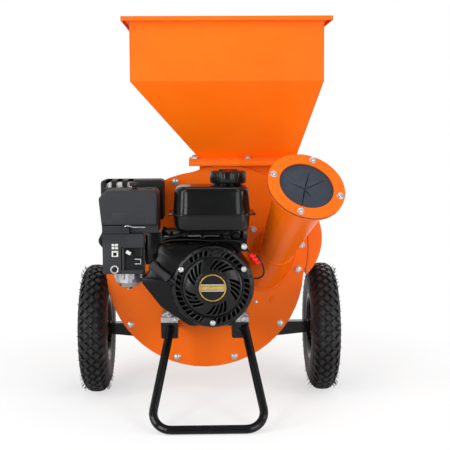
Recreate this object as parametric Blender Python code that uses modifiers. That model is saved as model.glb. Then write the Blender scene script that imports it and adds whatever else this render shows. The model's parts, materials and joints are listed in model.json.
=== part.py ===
"""Petrol chipper shredder on two wheels: drum housing, hopper, chipper chute, engine and stand.

Metres, +Z up. Inside this file x is measured from the crank axis, y from the front face of the
drum's front plate (the engine side is -y) and z from the ground. The empty "machine_origin"
carries every part and puts the centre of the overall outline over the world origin.
"""
import math

import bmesh
import bpy
from mathutils import Matrix, Vector

for old in list(bpy.data.objects):
    bpy.data.objects.remove(old, do_unlink=True)

GAP = 0.0003                # between faces that touch on the real machine
RUN = 0.0008                # running clearance beside turning parts
BITE = 0.004                # how far a cutter runs past the face it cuts

# Overall layout
WHEEL_R = 0.179
TYRE_W = 0.080
AXLE_DROP = 0.173           # wheel axis below the crank axis
CRANK_H = WHEEL_R + AXLE_DROP
PLATE_R = 0.271             # round part of the front plate
PLATE_SHIFT = 0.018         # its centre left of the crank
PLATE_OVER_TYRE = 0.005     # the plate's widest part past the left tyre's inner side
CRANK_OFFSET = 0.007        # crank axis right of the middle of the track
TRACK = 2 * (PLATE_R + PLATE_SHIFT - CRANK_OFFSET + TYRE_W / 2 - PLATE_OVER_TYRE)
STAND_REACH = 0.356         # front plate to the front of the stand
HOPPER_REACH = 0.294        # front plate to the rear rim of the hopper
WHEEL_BACK = 0.072          # wheel axis behind the front plate

# Drum housing
LOBE_R = 0.227              # lobe of the plate, up and to the right
LOBE_RISE = 0.060           # its centre above the crank
LOBE_SHIFT = 0.038          # and right of it
PLATE_T = 0.004
FLANGE_T = 0.004
SHELL_IN = 0.033            # plate edge to the outside of the shell
SHELL_T = 0.003
DRUM_DEPTH = 0.150          # front plate face to rear plate face
BOLT_EDGE = 0.015           # bolt circle inside the plate's edge

# Neck and hopper
NECK_LEFT = -0.031
NECK_RIGHT = 0.231
NECK_WALL = 0.003
NECK_MARGIN = 0.008         # neck walls inside the drum's front and rear faces
NECK_FOOT_UP = 0.048        # where the neck's walls start, above the crank
NECK_FOOT = CRANK_H + NECK_FOOT_UP
NECK_UP = 0.303
NECK_TOP = CRANK_H + NECK_UP
LIP_LEFT = 0.028
LIP_RIGHT = 0.020
LIP_FRONT = 0.028
LIP_T = 0.004
HOPPER_T = 0.002
HOPPER_LEFT = -0.205
HOPPER_RIGHT = 0.290
HOPPER_FRONT = -0.135
KNEE_UP = 0.205
HOPPER_KNEE = NECK_TOP + KNEE_UP
WALL_UP = 0.160
HOPPER_TOP = HOPPER_KNEE + WALL_UP
RIM_WIDTH = 0.019
RIM_DROP = 0.009

# Chipper chute
CHUTE_X = 0.233
CHUTE_Y = -0.250
CHUTE_UP = 0.242            # the mouth above the crank
CHUTE_MOUTH = (CHUTE_X, CHUTE_Y, CRANK_H + CHUTE_UP)
CHUTE_RAISE = math.radians(41.3)
CHUTE_TURN = math.radians(16.2)
CHUTE_LENGTH = 0.276        # mouth to the crease above the boot
CHUTE_T = 0.003
MOUTH_R = 0.074             # outside of the tube at the mouth
CREASE_R = 0.045
MOUTH_FLANGE_R = 0.0995
MOUTH_FLANGE_T = 0.004
MOUTH_OPEN_R = 0.070
MOUTH_BOLT_R = 0.0870
MOUTH_BOLT_TURN = math.radians(-25)
FLAP_T = 0.003
FLAP_SLIT = 0.0012
FLAP_MEET = (-0.0082, -0.0113)   # where the slits meet, right of and above the mouth's middle
FLAP_SLITS = ((144, 0.044), (63, 0.062), (25, 0.070), (-67, 0.027), (-111, 0.052))  # angle, length
RING_T = 0.004
BOOT_X = 0.165
BOOT_UP = 0.033
BOOT_CENTRE = (BOOT_X, CRANK_H + BOOT_UP)
BOOT_LONG = 0.095
BOOT_SHORT = 0.060
BOOT_TILT = math.radians(64)

# Rotor
SHAFT_R = 0.0127
SHAFT_END = 0.136           # shaft end behind the front plate
DISC_R = 0.190
DISC_T = 0.012
BLADE_T = 0.007
BLADE_GAP = 0.010           # front plate's rear face to the blades
BLADE_LONG = 0.095
BLADE_WIDE = 0.045
BLADE_MID = 0.132           # middle of a blade from the crank axis
BLADE_EDGE = -0.012         # cutting edge before the line through the crank
CHIP_WINDOW = 0.016         # slot in the disc ahead of each edge
REAR_DISC_R = 0.152
REAR_DISC_T = 0.010
ROTOR_BACK = 0.030          # rear disc's rear face before the drum's rear face
HUB_R = 0.034
PIN_CIRCLE = 0.128
PIN_R = 0.006
HAMMERS = 4
HAMMER_REACH = 0.077        # pin to hammer tip
HAMMER_WIDE = 0.030
HAMMER_T = 0.006
HAMMER_BARS = 3
SLEEVE_R = 0.013
KNIFE_LONG = 0.108
KNIFE_IN = 0.083            # its right end inside the plate's edge
KNIFE_RIGHT = PLATE_R - KNIFE_IN
KNIFE_LEFT = KNIFE_RIGHT - KNIFE_LONG
KNIFE_UP = -0.096
KNIFE_LOW = CRANK_H + KNIFE_UP
KNIFE_WIDE = 0.032
KNIFE_HIGH = KNIFE_LOW + KNIFE_WIDE
KNIFE_T = 0.008

# Discharge
OUTLET_FRONT = 0.058
OUTLET_REAR = 0.132
OUTLET_UP = 0.051
OUTLET_LOW = CRANK_H + OUTLET_UP
OUTLET_TALL = 0.077
OUTLET_HIGH = OUTLET_LOW + OUTLET_TALL
HOOD_X = 0.1607
HOOD_UP = 0.0848
HOOD_CENTRE = (HOOD_X, CRANK_H + HOOD_UP)
HOOD_R = 0.144
HOOD_TIP = math.radians(-45)
HOOD_START_X = 0.2290
HOOD_START_UP = 0.041
HOOD_START = (HOOD_START_X, CRANK_H + HOOD_START_UP)
HOOD_STEP_X = 0.2615        # its floor drops to the tip here
HOOD_STEP_UP = 0.011
HOOD_STEP = (HOOD_STEP_X, CRANK_H + HOOD_STEP_UP)
HOOD_OVER_TYRE = 0.0045     # least height over the tyre
HOOD_TOP = math.radians(60)
HOOD_BACK = 0.235
HOOD_T = 0.003
HOOD_MOUTH_UP = 0.153       # the rear wall closes the hood above this
HOOD_MOUTH_TOP = CRANK_H + HOOD_MOUTH_UP
DEFLECTOR_T = 0.003
DEFLECTOR_PIN_R = 0.004
LUG_ROOM = 0.0085           # cut from the flap's corners round the hinge lugs

# Wheels and axle arms
WHEEL_STEPS = 30
BEAD_R = 0.083
RIM_LIP_R = 0.094
HUB_OUT_R = 0.020
HUB_HALF = 0.029
BUSH_WALL = 0.004
AXLE_R = 0.010
AXLE_PAST = 0.0095          # axle end past the hub
ARM_HIGH = 0.050            # arm height at the drum
ARM_TIP_HIGH = 0.030
ARM_UP = -0.173             # the arms' roots below the crank
ARM_DEEP = 0.040

# Engine
BASE_UP = -0.116            # underside of the engine's feet
BASE_H = CRANK_H + BASE_UP
FEET_LEFT = -0.112
FEET_RIGHT = 0.073
FOOT_W = 0.044
FOOT_T = 0.014
FOOT_FRONT = -0.150
FOOT_REAR = -0.030
FOOT_BOLT_FRONT = -0.136
FOOT_BOLT_REAR = -0.055
CASE_HALF = 0.075
CASE_FRONT = -0.178
CASE_UP = 0.078
CASE_TOP = CRANK_H + CASE_UP
REST_LEFT = -0.118           # rest under the tank
REST_RIGHT = 0.090
FACE_R = 0.052              # mounting face round the shaft
FACE_T = 0.012
SHROUD_R = 0.104
SHROUD_FRONT = -0.268
SHROUD_REAR = -0.1783        # against the crankcase
SHROUD_T = 0.002
SHROUD_LEFT = -0.135
SHROUD_SIDE = -0.1755
SHROUD_KNEE_UP = 0.022
SHROUD_KNEE = CRANK_H + SHROUD_KNEE_UP
SHROUD_FOOT_LEFT = -0.057
SHROUD_FOOT_RIGHT = 0.052
SHROUD_UP = -0.101
SHROUD_BOTTOM = CRANK_H + SHROUD_UP
FLYWHEEL_R = 0.086
FLYWHEEL_T = 0.012
VANES = 12
VANE_H = 0.018
COVER_DOME = 0.029          # recoil cover's face ahead of the shroud
COVER_T = 0.002
COVER_SLOTS = 20
BADGE_R = 0.0335
BADGE_T = 0.003
COVER_BOLT_R = 0.089
GRIP_X = -0.129
GRIP_Y = -0.2815
GRIP_UP = 0.039
GRIP_AT = (GRIP_X, GRIP_Y, CRANK_H + GRIP_UP)
GRIP_LENGTH = 0.058
GRIP_R = 0.011
GRIP_TILT = math.radians(140)
ROPE_R = 0.0016
ROPE_LENGTH = 0.118         # from the grip's middle to its inner end, inside the cover
ROPE_GUIDE_R = 0.0045

TANK_LEFT = -0.097
TANK_RIGHT = 0.097
TANK_FRONT = -0.275
TANK_REAR = -0.120
TANK_UP = 0.134
TANK_BOTTOM = CRANK_H + TANK_UP
SEAM_UP = 0.042
TANK_SEAM = TANK_BOTTOM + SEAM_UP
TANK_TALL = 0.112
TANK_TOP = TANK_BOTTOM + TANK_TALL
TANK_LIP = 0.012
TANK_T = 0.002
CAP_X = 0.042
CAP_Y = -0.195
CAP_AT = (CAP_X, CAP_Y)
CAP_R = 0.043
CAP_H = 0.026
NECK_FILL_R = 0.024
FILLER_UP = 0.006
FILLER_T = 0.003
CAP_AIR = 0.0005            # between the cap's bore and the filler

FILTER_LEFT = -0.284
FILTER_RIGHT = -0.132
FILTER_FRONT = -0.245
FILTER_REAR = -0.150
FILTER_UP = 0.129
FILTER_LOW = CRANK_H + FILTER_UP
FILTER_TALL = 0.109
FILTER_HIGH = FILTER_LOW + FILTER_TALL
FILTER_CHAMFER = 0.020
FILTER_BASE_T = 0.016
KNOB_X = -0.195
KNOB_Y = -0.190
KNOB_AT = (KNOB_X, KNOB_Y)
KNOB_R = 0.012
KNOB_H = 0.016

CARB_X = -0.213
CARB_Y = -0.180
CARB_AT = (CARB_X, CARB_Y)
CARB_UP = 0.088
CARB_TOP = CRANK_H + CARB_UP
BOWL_R = 0.034
BOWL_UP = 0.027
BOWL_TOP = CRANK_H + BOWL_UP
BOWL_LOW_UP = -0.012
BOWL_LOW = CRANK_H + BOWL_LOW_UP
PANEL_LEFT = -0.273
PANEL_RIGHT = -0.168
PANEL_UP = 0.027
PANEL_LOW = CRANK_H + PANEL_UP
PANEL_HIGH = FILTER_LOW - GAP
PANEL_FRONT = -0.245
PANEL_DEEP = 0.024
RECESS = 0.010
SWITCH_R = 0.004
MUFFLER_LEFT = -0.281
MUFFLER_RIGHT = -0.132
MUFFLER_FRONT = -0.108
MUFFLER_REAR = -0.028
MUFFLER_UP = 0.138
MUFFLER_LOW = CRANK_H + MUFFLER_UP
MUFFLER_TALL = 0.109
MUFFLER_HIGH = MUFFLER_LOW + MUFFLER_TALL
GUARD_AIR = 0.006
GUARD_T = 0.0015
GUARD_SLOTS = 3
GUARD_SLOT_STEP = 0.028
GUARD_SLOT_W = 0.015

# Stand
STAND_R = 0.011
STAND_MID = -0.012
STAND_TOP_HALF = 0.097
STAND_LOW_HALF = 0.1445      # where the legs' lines meet the bar
STAND_UP = -0.014
STAND_TOP = BASE_H + STAND_UP
STAND_TOP_Y = -0.160
STAND_CORNER = 0.045
RAIL_UP = -0.041
RAIL_LOW = BASE_H + RAIL_UP
RAIL_T = 0.004
SINK = 0.0005               # a fused bolt's head into the face under it
BOLT_R = 0.004              # M8 and M6 shanks
SMALL_BOLT_R = 0.003

PLATE_BACK = PLATE_T + GAP
HOOD_FRONT = PLATE_BACK + FLANGE_T + GAP
SHELL_FRONT = PLATE_BACK
REAR_PLATE_FRONT = DRUM_DEPTH - PLATE_T
SHELL_BACK = REAR_PLATE_FRONT - GAP
NECK_FRONT = NECK_MARGIN
NECK_BACK = DRUM_DEPTH - NECK_MARGIN
LOBE_AT = (LOBE_SHIFT, CRANK_H + LOBE_RISE)
ROUND_AT = (-PLATE_SHIFT, CRANK_H)
WHEEL_MID = -CRANK_OFFSET   # middle of the track, seen from the crank
TYRE_X = {"left": WHEEL_MID - TRACK / 2, "right": WHEEL_MID + TRACK / 2}

FINISHES = {                # colour, roughness, metallic
    "orange_paint": ((0.86, 0.19, 0.015), 0.32, 0.0),
    "black_paint": ((0.02, 0.02, 0.022), 0.35, 0.0),
    "black_plastic": ((0.03, 0.03, 0.033), 0.45, 0.0),
    "rubber": ((0.045, 0.05, 0.055), 0.75, 0.0),
    "tyre_rubber": ((0.03, 0.03, 0.03), 0.85, 0.0),
    "zinc": ((0.62, 0.62, 0.60), 0.35, 1.0),
    "steel": ((0.45, 0.45, 0.46), 0.40, 1.0),
    "cast_aluminium": ((0.60, 0.61, 0.62), 0.50, 1.0),
    "cast_iron": ((0.25, 0.25, 0.26), 0.60, 1.0),
    "bronze": ((0.55, 0.38, 0.16), 0.45, 1.0),
    "gold_trim": ((0.75, 0.55, 0.18), 0.30, 1.0),
}

parts = bpy.data.collections.new("chipper_shredder")
cutters = bpy.data.collections.new("cutters")
bpy.context.scene.collection.children.link(parts)
bpy.context.scene.collection.children.link(cutters)


def add_object(name, data, kind=None):
    """Link a new object as a part with its own material, or as a cutter when kind is None."""
    obj = bpy.data.objects.new(name, data)
    if kind is None:
        cutters.objects.link(obj)
        obj.hide_render = True
        obj.display_type = "WIRE"
        return obj
    parts.objects.link(obj)
    colour, roughness, metallic = FINISHES[kind]
    material = bpy.data.materials.new(name + "_" + kind)
    material.use_nodes = True
    shader = material.node_tree.nodes["Principled BSDF"]
    shader.inputs["Base Color"].default_value = (*colour, 1.0)
    shader.inputs["Roughness"].default_value = roughness
    shader.inputs["Metallic"].default_value = metallic
    data.materials.clear()
    data.materials.append(material)
    return obj


def from_bmesh(name, bm, kind=None):
    bmesh.ops.recalc_face_normals(bm, faces=bm.faces)
    mesh = bpy.data.meshes.new(name)
    bm.to_mesh(mesh)
    bm.free()
    mesh.set_sharp_from_angle(angle=math.radians(35))
    return add_object(name, mesh, kind)


def add_block(bm, low, high):
    made = bmesh.ops.create_cube(bm, size=1.0)["verts"]
    low = Vector(low)
    high = Vector(high)
    bmesh.ops.scale(bm, vec=high - low, verts=made)
    bmesh.ops.translate(bm, vec=(low + high) / 2, verts=made)


def add_rod(bm, start, end, radius, sides=16, end_radius=None):
    start = Vector(start)
    end = Vector(end)
    tip = radius if end_radius is None else end_radius
    made = bmesh.ops.create_cone(bm, cap_ends=True, segments=sides, radius1=radius, radius2=tip,
                                 depth=(end - start).length)["verts"]
    turn = Vector((0, 0, 1)).rotation_difference(end - start).to_matrix().to_4x4()
    place = Matrix.Translation((start + end) / 2) @ turn
    bmesh.ops.transform(bm, matrix=place, verts=made)


def block(name, low, high, kind=None, bevel=0.0, segments=2):
    bm = bmesh.new()
    add_block(bm, low, high)
    obj = from_bmesh(name, bm, kind)
    if bevel:
        soften(obj, bevel, segments)
    return obj


def rod(name, start, end, radius, kind=None, sides=24, end_radius=None):
    bm = bmesh.new()
    add_rod(bm, start, end, radius, sides, end_radius)
    return from_bmesh(name, bm, kind)


def soften(obj, width, segments=2):
    modifier = obj.modifiers.new("edges", "BEVEL")
    modifier.width = width
    modifier.segments = segments
    modifier.limit_method = "ANGLE"
    modifier.angle_limit = math.radians(40)


def cut(obj, tool, operation="DIFFERENCE"):
    modifier = obj.modifiers.new(tool.name, "BOOLEAN")
    modifier.object = tool
    modifier.operation = operation
    modifier.solver = "EXACT"


def join(obj, tool):
    cut(obj, tool, "UNION")


def mesh_of(obj, kind=None):
    """Swap a curve object for a mesh with its caps welded."""
    name = obj.name
    bpy.context.view_layer.update()
    graph = bpy.context.evaluated_depsgraph_get()
    mesh = bpy.data.meshes.new_from_object(obj.evaluated_get(graph))
    matrix = obj.matrix_world.copy()
    bpy.data.objects.remove(obj, do_unlink=True)
    bm = bmesh.new()
    bm.from_mesh(mesh)
    bmesh.ops.remove_doubles(bm, verts=bm.verts, dist=0.00001)
    bm.transform(matrix)
    return from_bmesh(name, bm, kind)


def flat(name, outline, y_front, y_back, kind=None):
    """A flat outline of (x, z) points, as thick as from y_front to y_back."""
    curve = bpy.data.curves.new(name, "CURVE")
    curve.dimensions = "2D"
    curve.fill_mode = "BOTH"
    curve.extrude = (y_back - y_front) / 2
    spline = curve.splines.new("POLY")
    spline.points.add(len(outline) - 1)
    for point, (x, z) in zip(spline.points, outline):
        point.co = (x, z, 0, 1)
    spline.use_cyclic_u = True
    obj = add_object(name, curve)
    obj.rotation_euler = (math.pi / 2, 0, 0)
    obj.location = (0, (y_front + y_back) / 2, 0)
    return mesh_of(obj, kind)


def tube(name, points, radius, kind=None, resolution=2):
    curve = bpy.data.curves.new(name, "CURVE")
    curve.dimensions = "3D"
    curve.bevel_depth = radius
    curve.bevel_resolution = resolution
    curve.use_fill_caps = True
    spline = curve.splines.new("POLY")
    spline.points.add(len(points) - 1)
    for point, place in zip(spline.points, points):
        point.co = (*place, 1)
    return mesh_of(add_object(name, curve), kind)


def turned(name, profile, at, axis, kind=None, steps=32):
    """A profile of (radius, height) points turned about an axis through at."""
    area = 0.0
    for (r0, h0), (r1, h1) in zip(profile, profile[1:] + profile[:1]):
        area += r0 * h1 - r1 * h0
    if area > 0:
        profile = profile[::-1]
    mesh = bpy.data.meshes.new(name)
    on_axis = profile[0][0] == 0 and profile[-1][0] == 0
    count = len(profile)
    edges = [(i, i + 1) for i in range(count - 1)]
    if not on_axis:
        edges.append((count - 1, 0))
    mesh.from_pydata([(r, 0, h) for r, h in profile], edges, [])
    obj = add_object(name, mesh, kind)
    screw = obj.modifiers.new("turn", "SCREW")
    screw.steps = steps
    screw.render_steps = steps
    screw.use_merge_vertices = True
    screw.merge_threshold = 0.00001
    screw.use_smooth_shade = True
    obj.location = at
    obj.rotation_mode = "QUATERNION"
    obj.rotation_quaternion = Vector((0, 0, 1)).rotation_difference(Vector(axis))
    return obj


def arc(centre, radius, start, end, count):
    """Points on a circle in the x-z plane, from angle start to angle end."""
    made = []
    for i in range(count + 1):
        angle = start + (end - start) * i / count
        made.append((centre[0] + radius * math.cos(angle), centre[1] + radius * math.sin(angle)))
    return made


def set_origin(obj, point):
    """Move a mesh object's origin to a point without moving its mesh."""
    shift = Vector(point) - obj.location
    obj.data.transform(Matrix.Translation(-shift))
    obj.location = point


def add_bolt(bm, head_at, axis, shank_r, length, nut=True, head=1.75, head_h=1.1):
    """A six-sided head, shank and nut in one solid; the head sits at head_at and the shank runs
    against axis for length."""
    axis = Vector(axis).normalized()
    side = axis.orthogonal().normalized()
    other = axis.cross(side)
    head_r = shank_r * head
    rings = [(head_r, shank_r * head_h), (head_r, 0), (shank_r, 0), (shank_r, -length)]
    if nut:
        rings += [(head_r, -length), (head_r, -length - shank_r * 1.3)]
    loops = []
    for radius, height in rings:
        loop = []
        for k in range(6):
            angle = math.pi * k / 3
            out = side * math.cos(angle) + other * math.sin(angle)
            loop.append(bm.verts.new(Vector(head_at) + axis * height + out * radius))
        loops.append(loop)
    bm.faces.new(loops[0])
    bm.faces.new(loops[-1][::-1])
    for upper, lower in zip(loops, loops[1:]):
        for k in range(6):
            bm.faces.new((upper[k], lower[k], lower[(k + 1) % 6], upper[(k + 1) % 6]))


def holes(name, places, axis, radius, before, after, sides=8):
    """One cutter for a pattern of holes: rods through the places along axis."""
    bm = bmesh.new()
    axis = Vector(axis).normalized()
    for place in places:
        add_rod(bm, Vector(place) - axis * before, Vector(place) + axis * after, radius, sides)
    return from_bmesh(name, bm)


def lobed_outline(inset, count=54):
    """The drum's outline: the farther of the round part and the lobe along each ray."""
    shift = Vector((LOBE_AT[0] - ROUND_AT[0], LOBE_AT[1] - ROUND_AT[1]))
    radius = PLATE_R - inset
    lobe = LOBE_R - inset
    made = []
    for k in range(count):
        angle = 2 * math.pi * (k + 0.5) / count
        ray = Vector((math.cos(angle), math.sin(angle)))
        along = ray.dot(shift)
        reach = along + math.sqrt(lobe ** 2 - shift.length_squared + along ** 2)
        far = max(radius, reach)
        made.append((ROUND_AT[0] + ray.x * far, ROUND_AT[1] + ray.y * far))
    return made


def lobed(name, inset, y_front, y_back, kind=None):
    return flat(name, lobed_outline(inset), y_front, y_back, kind)


def ring_loft(name, rings, kind=None, close=True, around=False):
    """Skin between closed rings of equal point counts, with end caps when close is set.

    With around set, the last ring is skinned back to the first, as on a wall that returns inside.
    """
    bm = bmesh.new()
    loops = [[bm.verts.new(point) for point in ring] for ring in rings]
    count = len(loops[0])
    following = loops[1:] + (loops[:1] if around else [])
    for first, second in zip(loops, following):
        for k in range(count):
            bm.faces.new((first[k], first[(k + 1) % count], second[(k + 1) % count], second[k]))
    if close and not around:
        bm.faces.new(loops[0][::-1])
        bm.faces.new(loops[-1])
    return from_bmesh(name, bm, kind)


def crank(y):
    return (0.0, y, CRANK_H)


# Drum bolts lie round the plate from its top left to the lobe, 36 degrees apart
BOLT_ANGLES = [math.radians(36 * k) for k in range(3, 11)]
PLATE_BOLT_AT = [(ROUND_AT[0] + (PLATE_R - BOLT_EDGE) * math.cos(a), 0.0,
                  ROUND_AT[1] + (PLATE_R - BOLT_EDGE) * math.sin(a)) for a in BOLT_ANGLES]
LOBE_BOLT_AT = [(LOBE_AT[0] + LOBE_R - BOLT_EDGE - 0.002, 0.0, LOBE_AT[1] + 0.007)]
KNIFE_BOLT_AT = [(KNIFE_LEFT + 0.020, 0.0, (KNIFE_LOW + KNIFE_HIGH) / 2 - 0.004),
                 (KNIFE_RIGHT - 0.020, 0.0, (KNIFE_LOW + KNIFE_HIGH) / 2 - 0.004)]
FACE_BOLT_AT = [(FACE_R * 0.78 * math.cos(a), 0.0, CRANK_H + FACE_R * 0.78 * math.sin(a))
                for a in (math.radians(45 + 90 * k) for k in range(4))]


def chute_axes():
    """Unit vectors of the mouth: out along the tube, to the right and up across the mouth."""
    flat_part = math.cos(CHUTE_RAISE)
    out = Vector((flat_part * math.sin(CHUTE_TURN), -flat_part * math.cos(CHUTE_TURN),
                  math.sin(CHUTE_RAISE)))
    right = Vector((0, 0, 1)).cross(out)
    right = -right.normalized() if right.x < 0 else right.normalized()
    up = out.cross(right)
    up = -up if up.z < 0 else up
    return out, right, up


OUT, RIGHT, UP = chute_axes()
MOUTH = Vector(CHUTE_MOUTH)


def mouth_point(radius, angle, ahead=0.0):
    return MOUTH + OUT * ahead + (RIGHT * math.cos(angle) + UP * math.sin(angle)) * radius


def boot_ring(inset, y, sides):
    """The boot's oval on the plate, its points matched with the tube's."""
    ring = []
    for k in range(sides):
        angle = 2 * math.pi * k / sides
        along = (BOOT_LONG - inset) * math.sin(angle)
        across = (BOOT_SHORT - inset) * math.cos(angle)
        x = BOOT_CENTRE[0] + along * math.cos(BOOT_TILT) + across * math.sin(BOOT_TILT)
        z = BOOT_CENTRE[1] + along * math.sin(BOOT_TILT) - across * math.cos(BOOT_TILT)
        ring.append(Vector((x, y, z)))
    return ring


def mouth_ring(radius, ahead=0.0, sides=32):
    return [mouth_point(radius, 2 * math.pi * k / sides, ahead) for k in range(sides)]


def make_front_plate():
    plate = lobed("front_plate", 0.0, 0.0, PLATE_T, "orange_paint")
    cut(plate, rod("shaft_hole", crank(-BITE), crank(PLATE_T + BITE), SHAFT_R + 0.004, None, 32))
    cut(plate, ring_loft("boot_hole", [boot_ring(CHUTE_T + 0.001, -BITE, 32),
                                       boot_ring(CHUTE_T + 0.001, PLATE_T + BITE, 32)]))
    places = FACE_BOLT_AT + [(x, 0, RAIL_BOLT_Z) for x in (FEET_LEFT, FEET_RIGHT)]
    cut(plate, holes("plate_holes", places, (0, 1, 0), BOLT_R + GAP, BITE, PLATE_T + BITE))
    join(plate, plate_bolts())
    return plate


def outer_drum(name, grow, y_front, y_back):
    """The outside of the shell and neck as one cutter, grown by grow."""
    drum = lobed(name, SHELL_IN - grow, y_front, y_back)
    neck = block(name + "_neck", (NECK_LEFT - grow, y_front, NECK_FOOT),
                 (NECK_RIGHT + grow, y_back, NECK_TOP - LIP_T), None)
    join(drum, neck)
    return drum


def make_drum_shell():
    shell = lobed("drum_shell", SHELL_IN, SHELL_FRONT, SHELL_BACK, "orange_paint")
    join(shell, lobed("shell_flange", 0.0, SHELL_FRONT, SHELL_FRONT + FLANGE_T))
    join(shell, block("neck_outside", (NECK_LEFT, NECK_FRONT, NECK_FOOT),
                      (NECK_RIGHT, NECK_BACK, NECK_TOP)))
    join(shell, block("neck_lip", (NECK_LEFT - LIP_LEFT, NECK_FRONT - LIP_FRONT, NECK_TOP - LIP_T),
                      (NECK_RIGHT + LIP_RIGHT, NECK_BACK + LIP_FRONT, NECK_TOP)))
    cut(shell, block("neck_inside", (NECK_LEFT + NECK_WALL, NECK_FRONT + NECK_WALL, NECK_FOOT - 0.030),
                     (NECK_RIGHT - NECK_WALL, NECK_BACK - NECK_WALL, NECK_TOP + BITE)))
    cut(shell, lobed("drum_inside", SHELL_IN + SHELL_T, -BITE, DRUM_DEPTH + BITE))
    cut(shell, block("outlet", (NECK_RIGHT - 0.030, OUTLET_FRONT, OUTLET_LOW),
                     (NECK_RIGHT + 0.030, OUTLET_REAR, OUTLET_HIGH)))
    cut(shell, holes("shell_holes", PLATE_BOLT_AT + LOBE_BOLT_AT, (0, 1, 0), BOLT_R + GAP, BITE,
                     SHELL_FRONT + FLANGE_T + BITE))
    cut(shell, holes("neck_holes", HOPPER_BOLT_AT, (0, 0, 1), BOLT_R + GAP, 0.03, 0.03))
    return shell


def make_rear_plate():
    plate = lobed("rear_plate", SHELL_IN, REAR_PLATE_FRONT, DRUM_DEPTH, "orange_paint")
    boss = rod("rear_boss", crank(REAR_PLATE_FRONT + 0.001), crank(DRUM_DEPTH + 0.006), 0.045)
    join(plate, boss)
    return plate


HOPPER_BOLT_AT = []
for bolt_x in (NECK_LEFT - LIP_LEFT / 2, (NECK_LEFT + NECK_RIGHT) / 2, NECK_RIGHT + LIP_RIGHT / 2):
    for bolt_y in (NECK_FRONT - LIP_FRONT / 2, NECK_BACK + LIP_FRONT / 2):
        HOPPER_BOLT_AT.append((bolt_x, bolt_y, NECK_TOP))


def rectangle(left, right, front, back, z):
    return [Vector((left, front, z)), Vector((right, front, z)), Vector((right, back, z)),
            Vector((left, back, z))]


def make_hopper():
    """Folded sheet: bottom flange, funnel, upright walls and a rolled rim, thickened inwards."""
    foot = NECK_TOP + GAP + HOPPER_T
    rear = HOPPER_REACH - RIM_WIDTH - HOPPER_T
    rings = [
        rectangle(NECK_LEFT - LIP_LEFT, NECK_RIGHT + LIP_RIGHT, NECK_FRONT - LIP_FRONT,
                  NECK_BACK + LIP_FRONT, foot),
        rectangle(NECK_LEFT, NECK_RIGHT, NECK_FRONT, NECK_BACK, foot),
        rectangle(HOPPER_LEFT, HOPPER_RIGHT, HOPPER_FRONT, rear, HOPPER_KNEE),
        rectangle(HOPPER_LEFT, HOPPER_RIGHT, HOPPER_FRONT, rear, HOPPER_TOP),
        rectangle(HOPPER_LEFT - RIM_WIDTH, HOPPER_RIGHT + RIM_WIDTH, HOPPER_FRONT - RIM_WIDTH,
                  HOPPER_REACH - HOPPER_T, HOPPER_TOP),
        rectangle(HOPPER_LEFT - RIM_WIDTH, HOPPER_RIGHT + RIM_WIDTH, HOPPER_FRONT - RIM_WIDTH,
                  HOPPER_REACH - HOPPER_T, HOPPER_TOP - RIM_DROP),
    ]
    hopper = ring_loft("hopper", rings, "orange_paint", close=False)
    for polygon in hopper.data.polygons:
        polygon.use_smooth = False
    thick = hopper.modifiers.new("sheet", "SOLIDIFY")
    thick.thickness = HOPPER_T
    thick.offset = 1.0
    thick.use_even_offset = True
    thick.solidify_mode = "NON_MANIFOLD"
    thick.nonmanifold_thickness_mode = "CONSTRAINTS"
    join(hopper, hopper_bolts())
    return hopper



def hopper_bolts():
    bm = bmesh.new()
    head = GAP + HOPPER_T - SINK
    for x, y, z in HOPPER_BOLT_AT:
        add_bolt(bm, (x, y, z + head), (0, 0, 1), BOLT_R, head + LIP_T + GAP)
    return from_bmesh("hopper_bolts", bm)


def plate_bolts():
    """Bolts through the drum's flange with their nuts, and those that hold the bed knife."""
    bm = bmesh.new()
    for x, y, z in PLATE_BOLT_AT:
        add_bolt(bm, (x, SINK, z), (0, -1, 0), BOLT_R, SHELL_FRONT + FLANGE_T + GAP + SINK)
    for x, y, z in LOBE_BOLT_AT:
        add_bolt(bm, (x, SINK, z), (0, -1, 0), BOLT_R, HOOD_FRONT + HOOD_T + GAP + SINK)
    for x, y, z in KNIFE_BOLT_AT:
        add_bolt(bm, (x, SINK, z), (0, -1, 0), BOLT_R, PLATE_T + GAP + KNIFE_T + SINK, nut=False)
    return from_bmesh("plate_bolts", bm)


def make_chute():
    """Boot, tube and mouth flange: up the outside, round the flange and down the bore."""
    rings = [
        boot_ring(0.0, -GAP, 32),
        mouth_ring(CREASE_R, -CHUTE_LENGTH),
        mouth_ring(MOUTH_R, -MOUTH_FLANGE_T),
        mouth_ring(MOUTH_FLANGE_R, -MOUTH_FLANGE_T),
        mouth_ring(MOUTH_FLANGE_R),
        mouth_ring(MOUTH_R - CHUTE_T),
        mouth_ring(CREASE_R - CHUTE_T, -CHUTE_LENGTH),
        boot_ring(CHUTE_T, -GAP, 32),
    ]
    chute = ring_loft("chipper_chute", rings, "orange_paint", close=False, around=True)
    spots = [mouth_point(MOUTH_BOLT_R, MOUTH_BOLT_TURN + math.pi / 2 * k) for k in range(4)]
    cut(chute, holes("chute_holes", spots, OUT, BOLT_R + GAP, 0.02, 0.02))
    return chute


def make_chute_ring():
    back = GAP + FLAP_T + GAP
    profile = [(MOUTH_OPEN_R, 0), (MOUTH_FLANGE_R, 0), (MOUTH_FLANGE_R, RING_T), (MOUTH_OPEN_R, RING_T)]
    ring = turned("chute_ring", profile, mouth_point(0, 0, back), OUT, "orange_paint", 40)
    join(ring, chute_bolts())
    return ring


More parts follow.
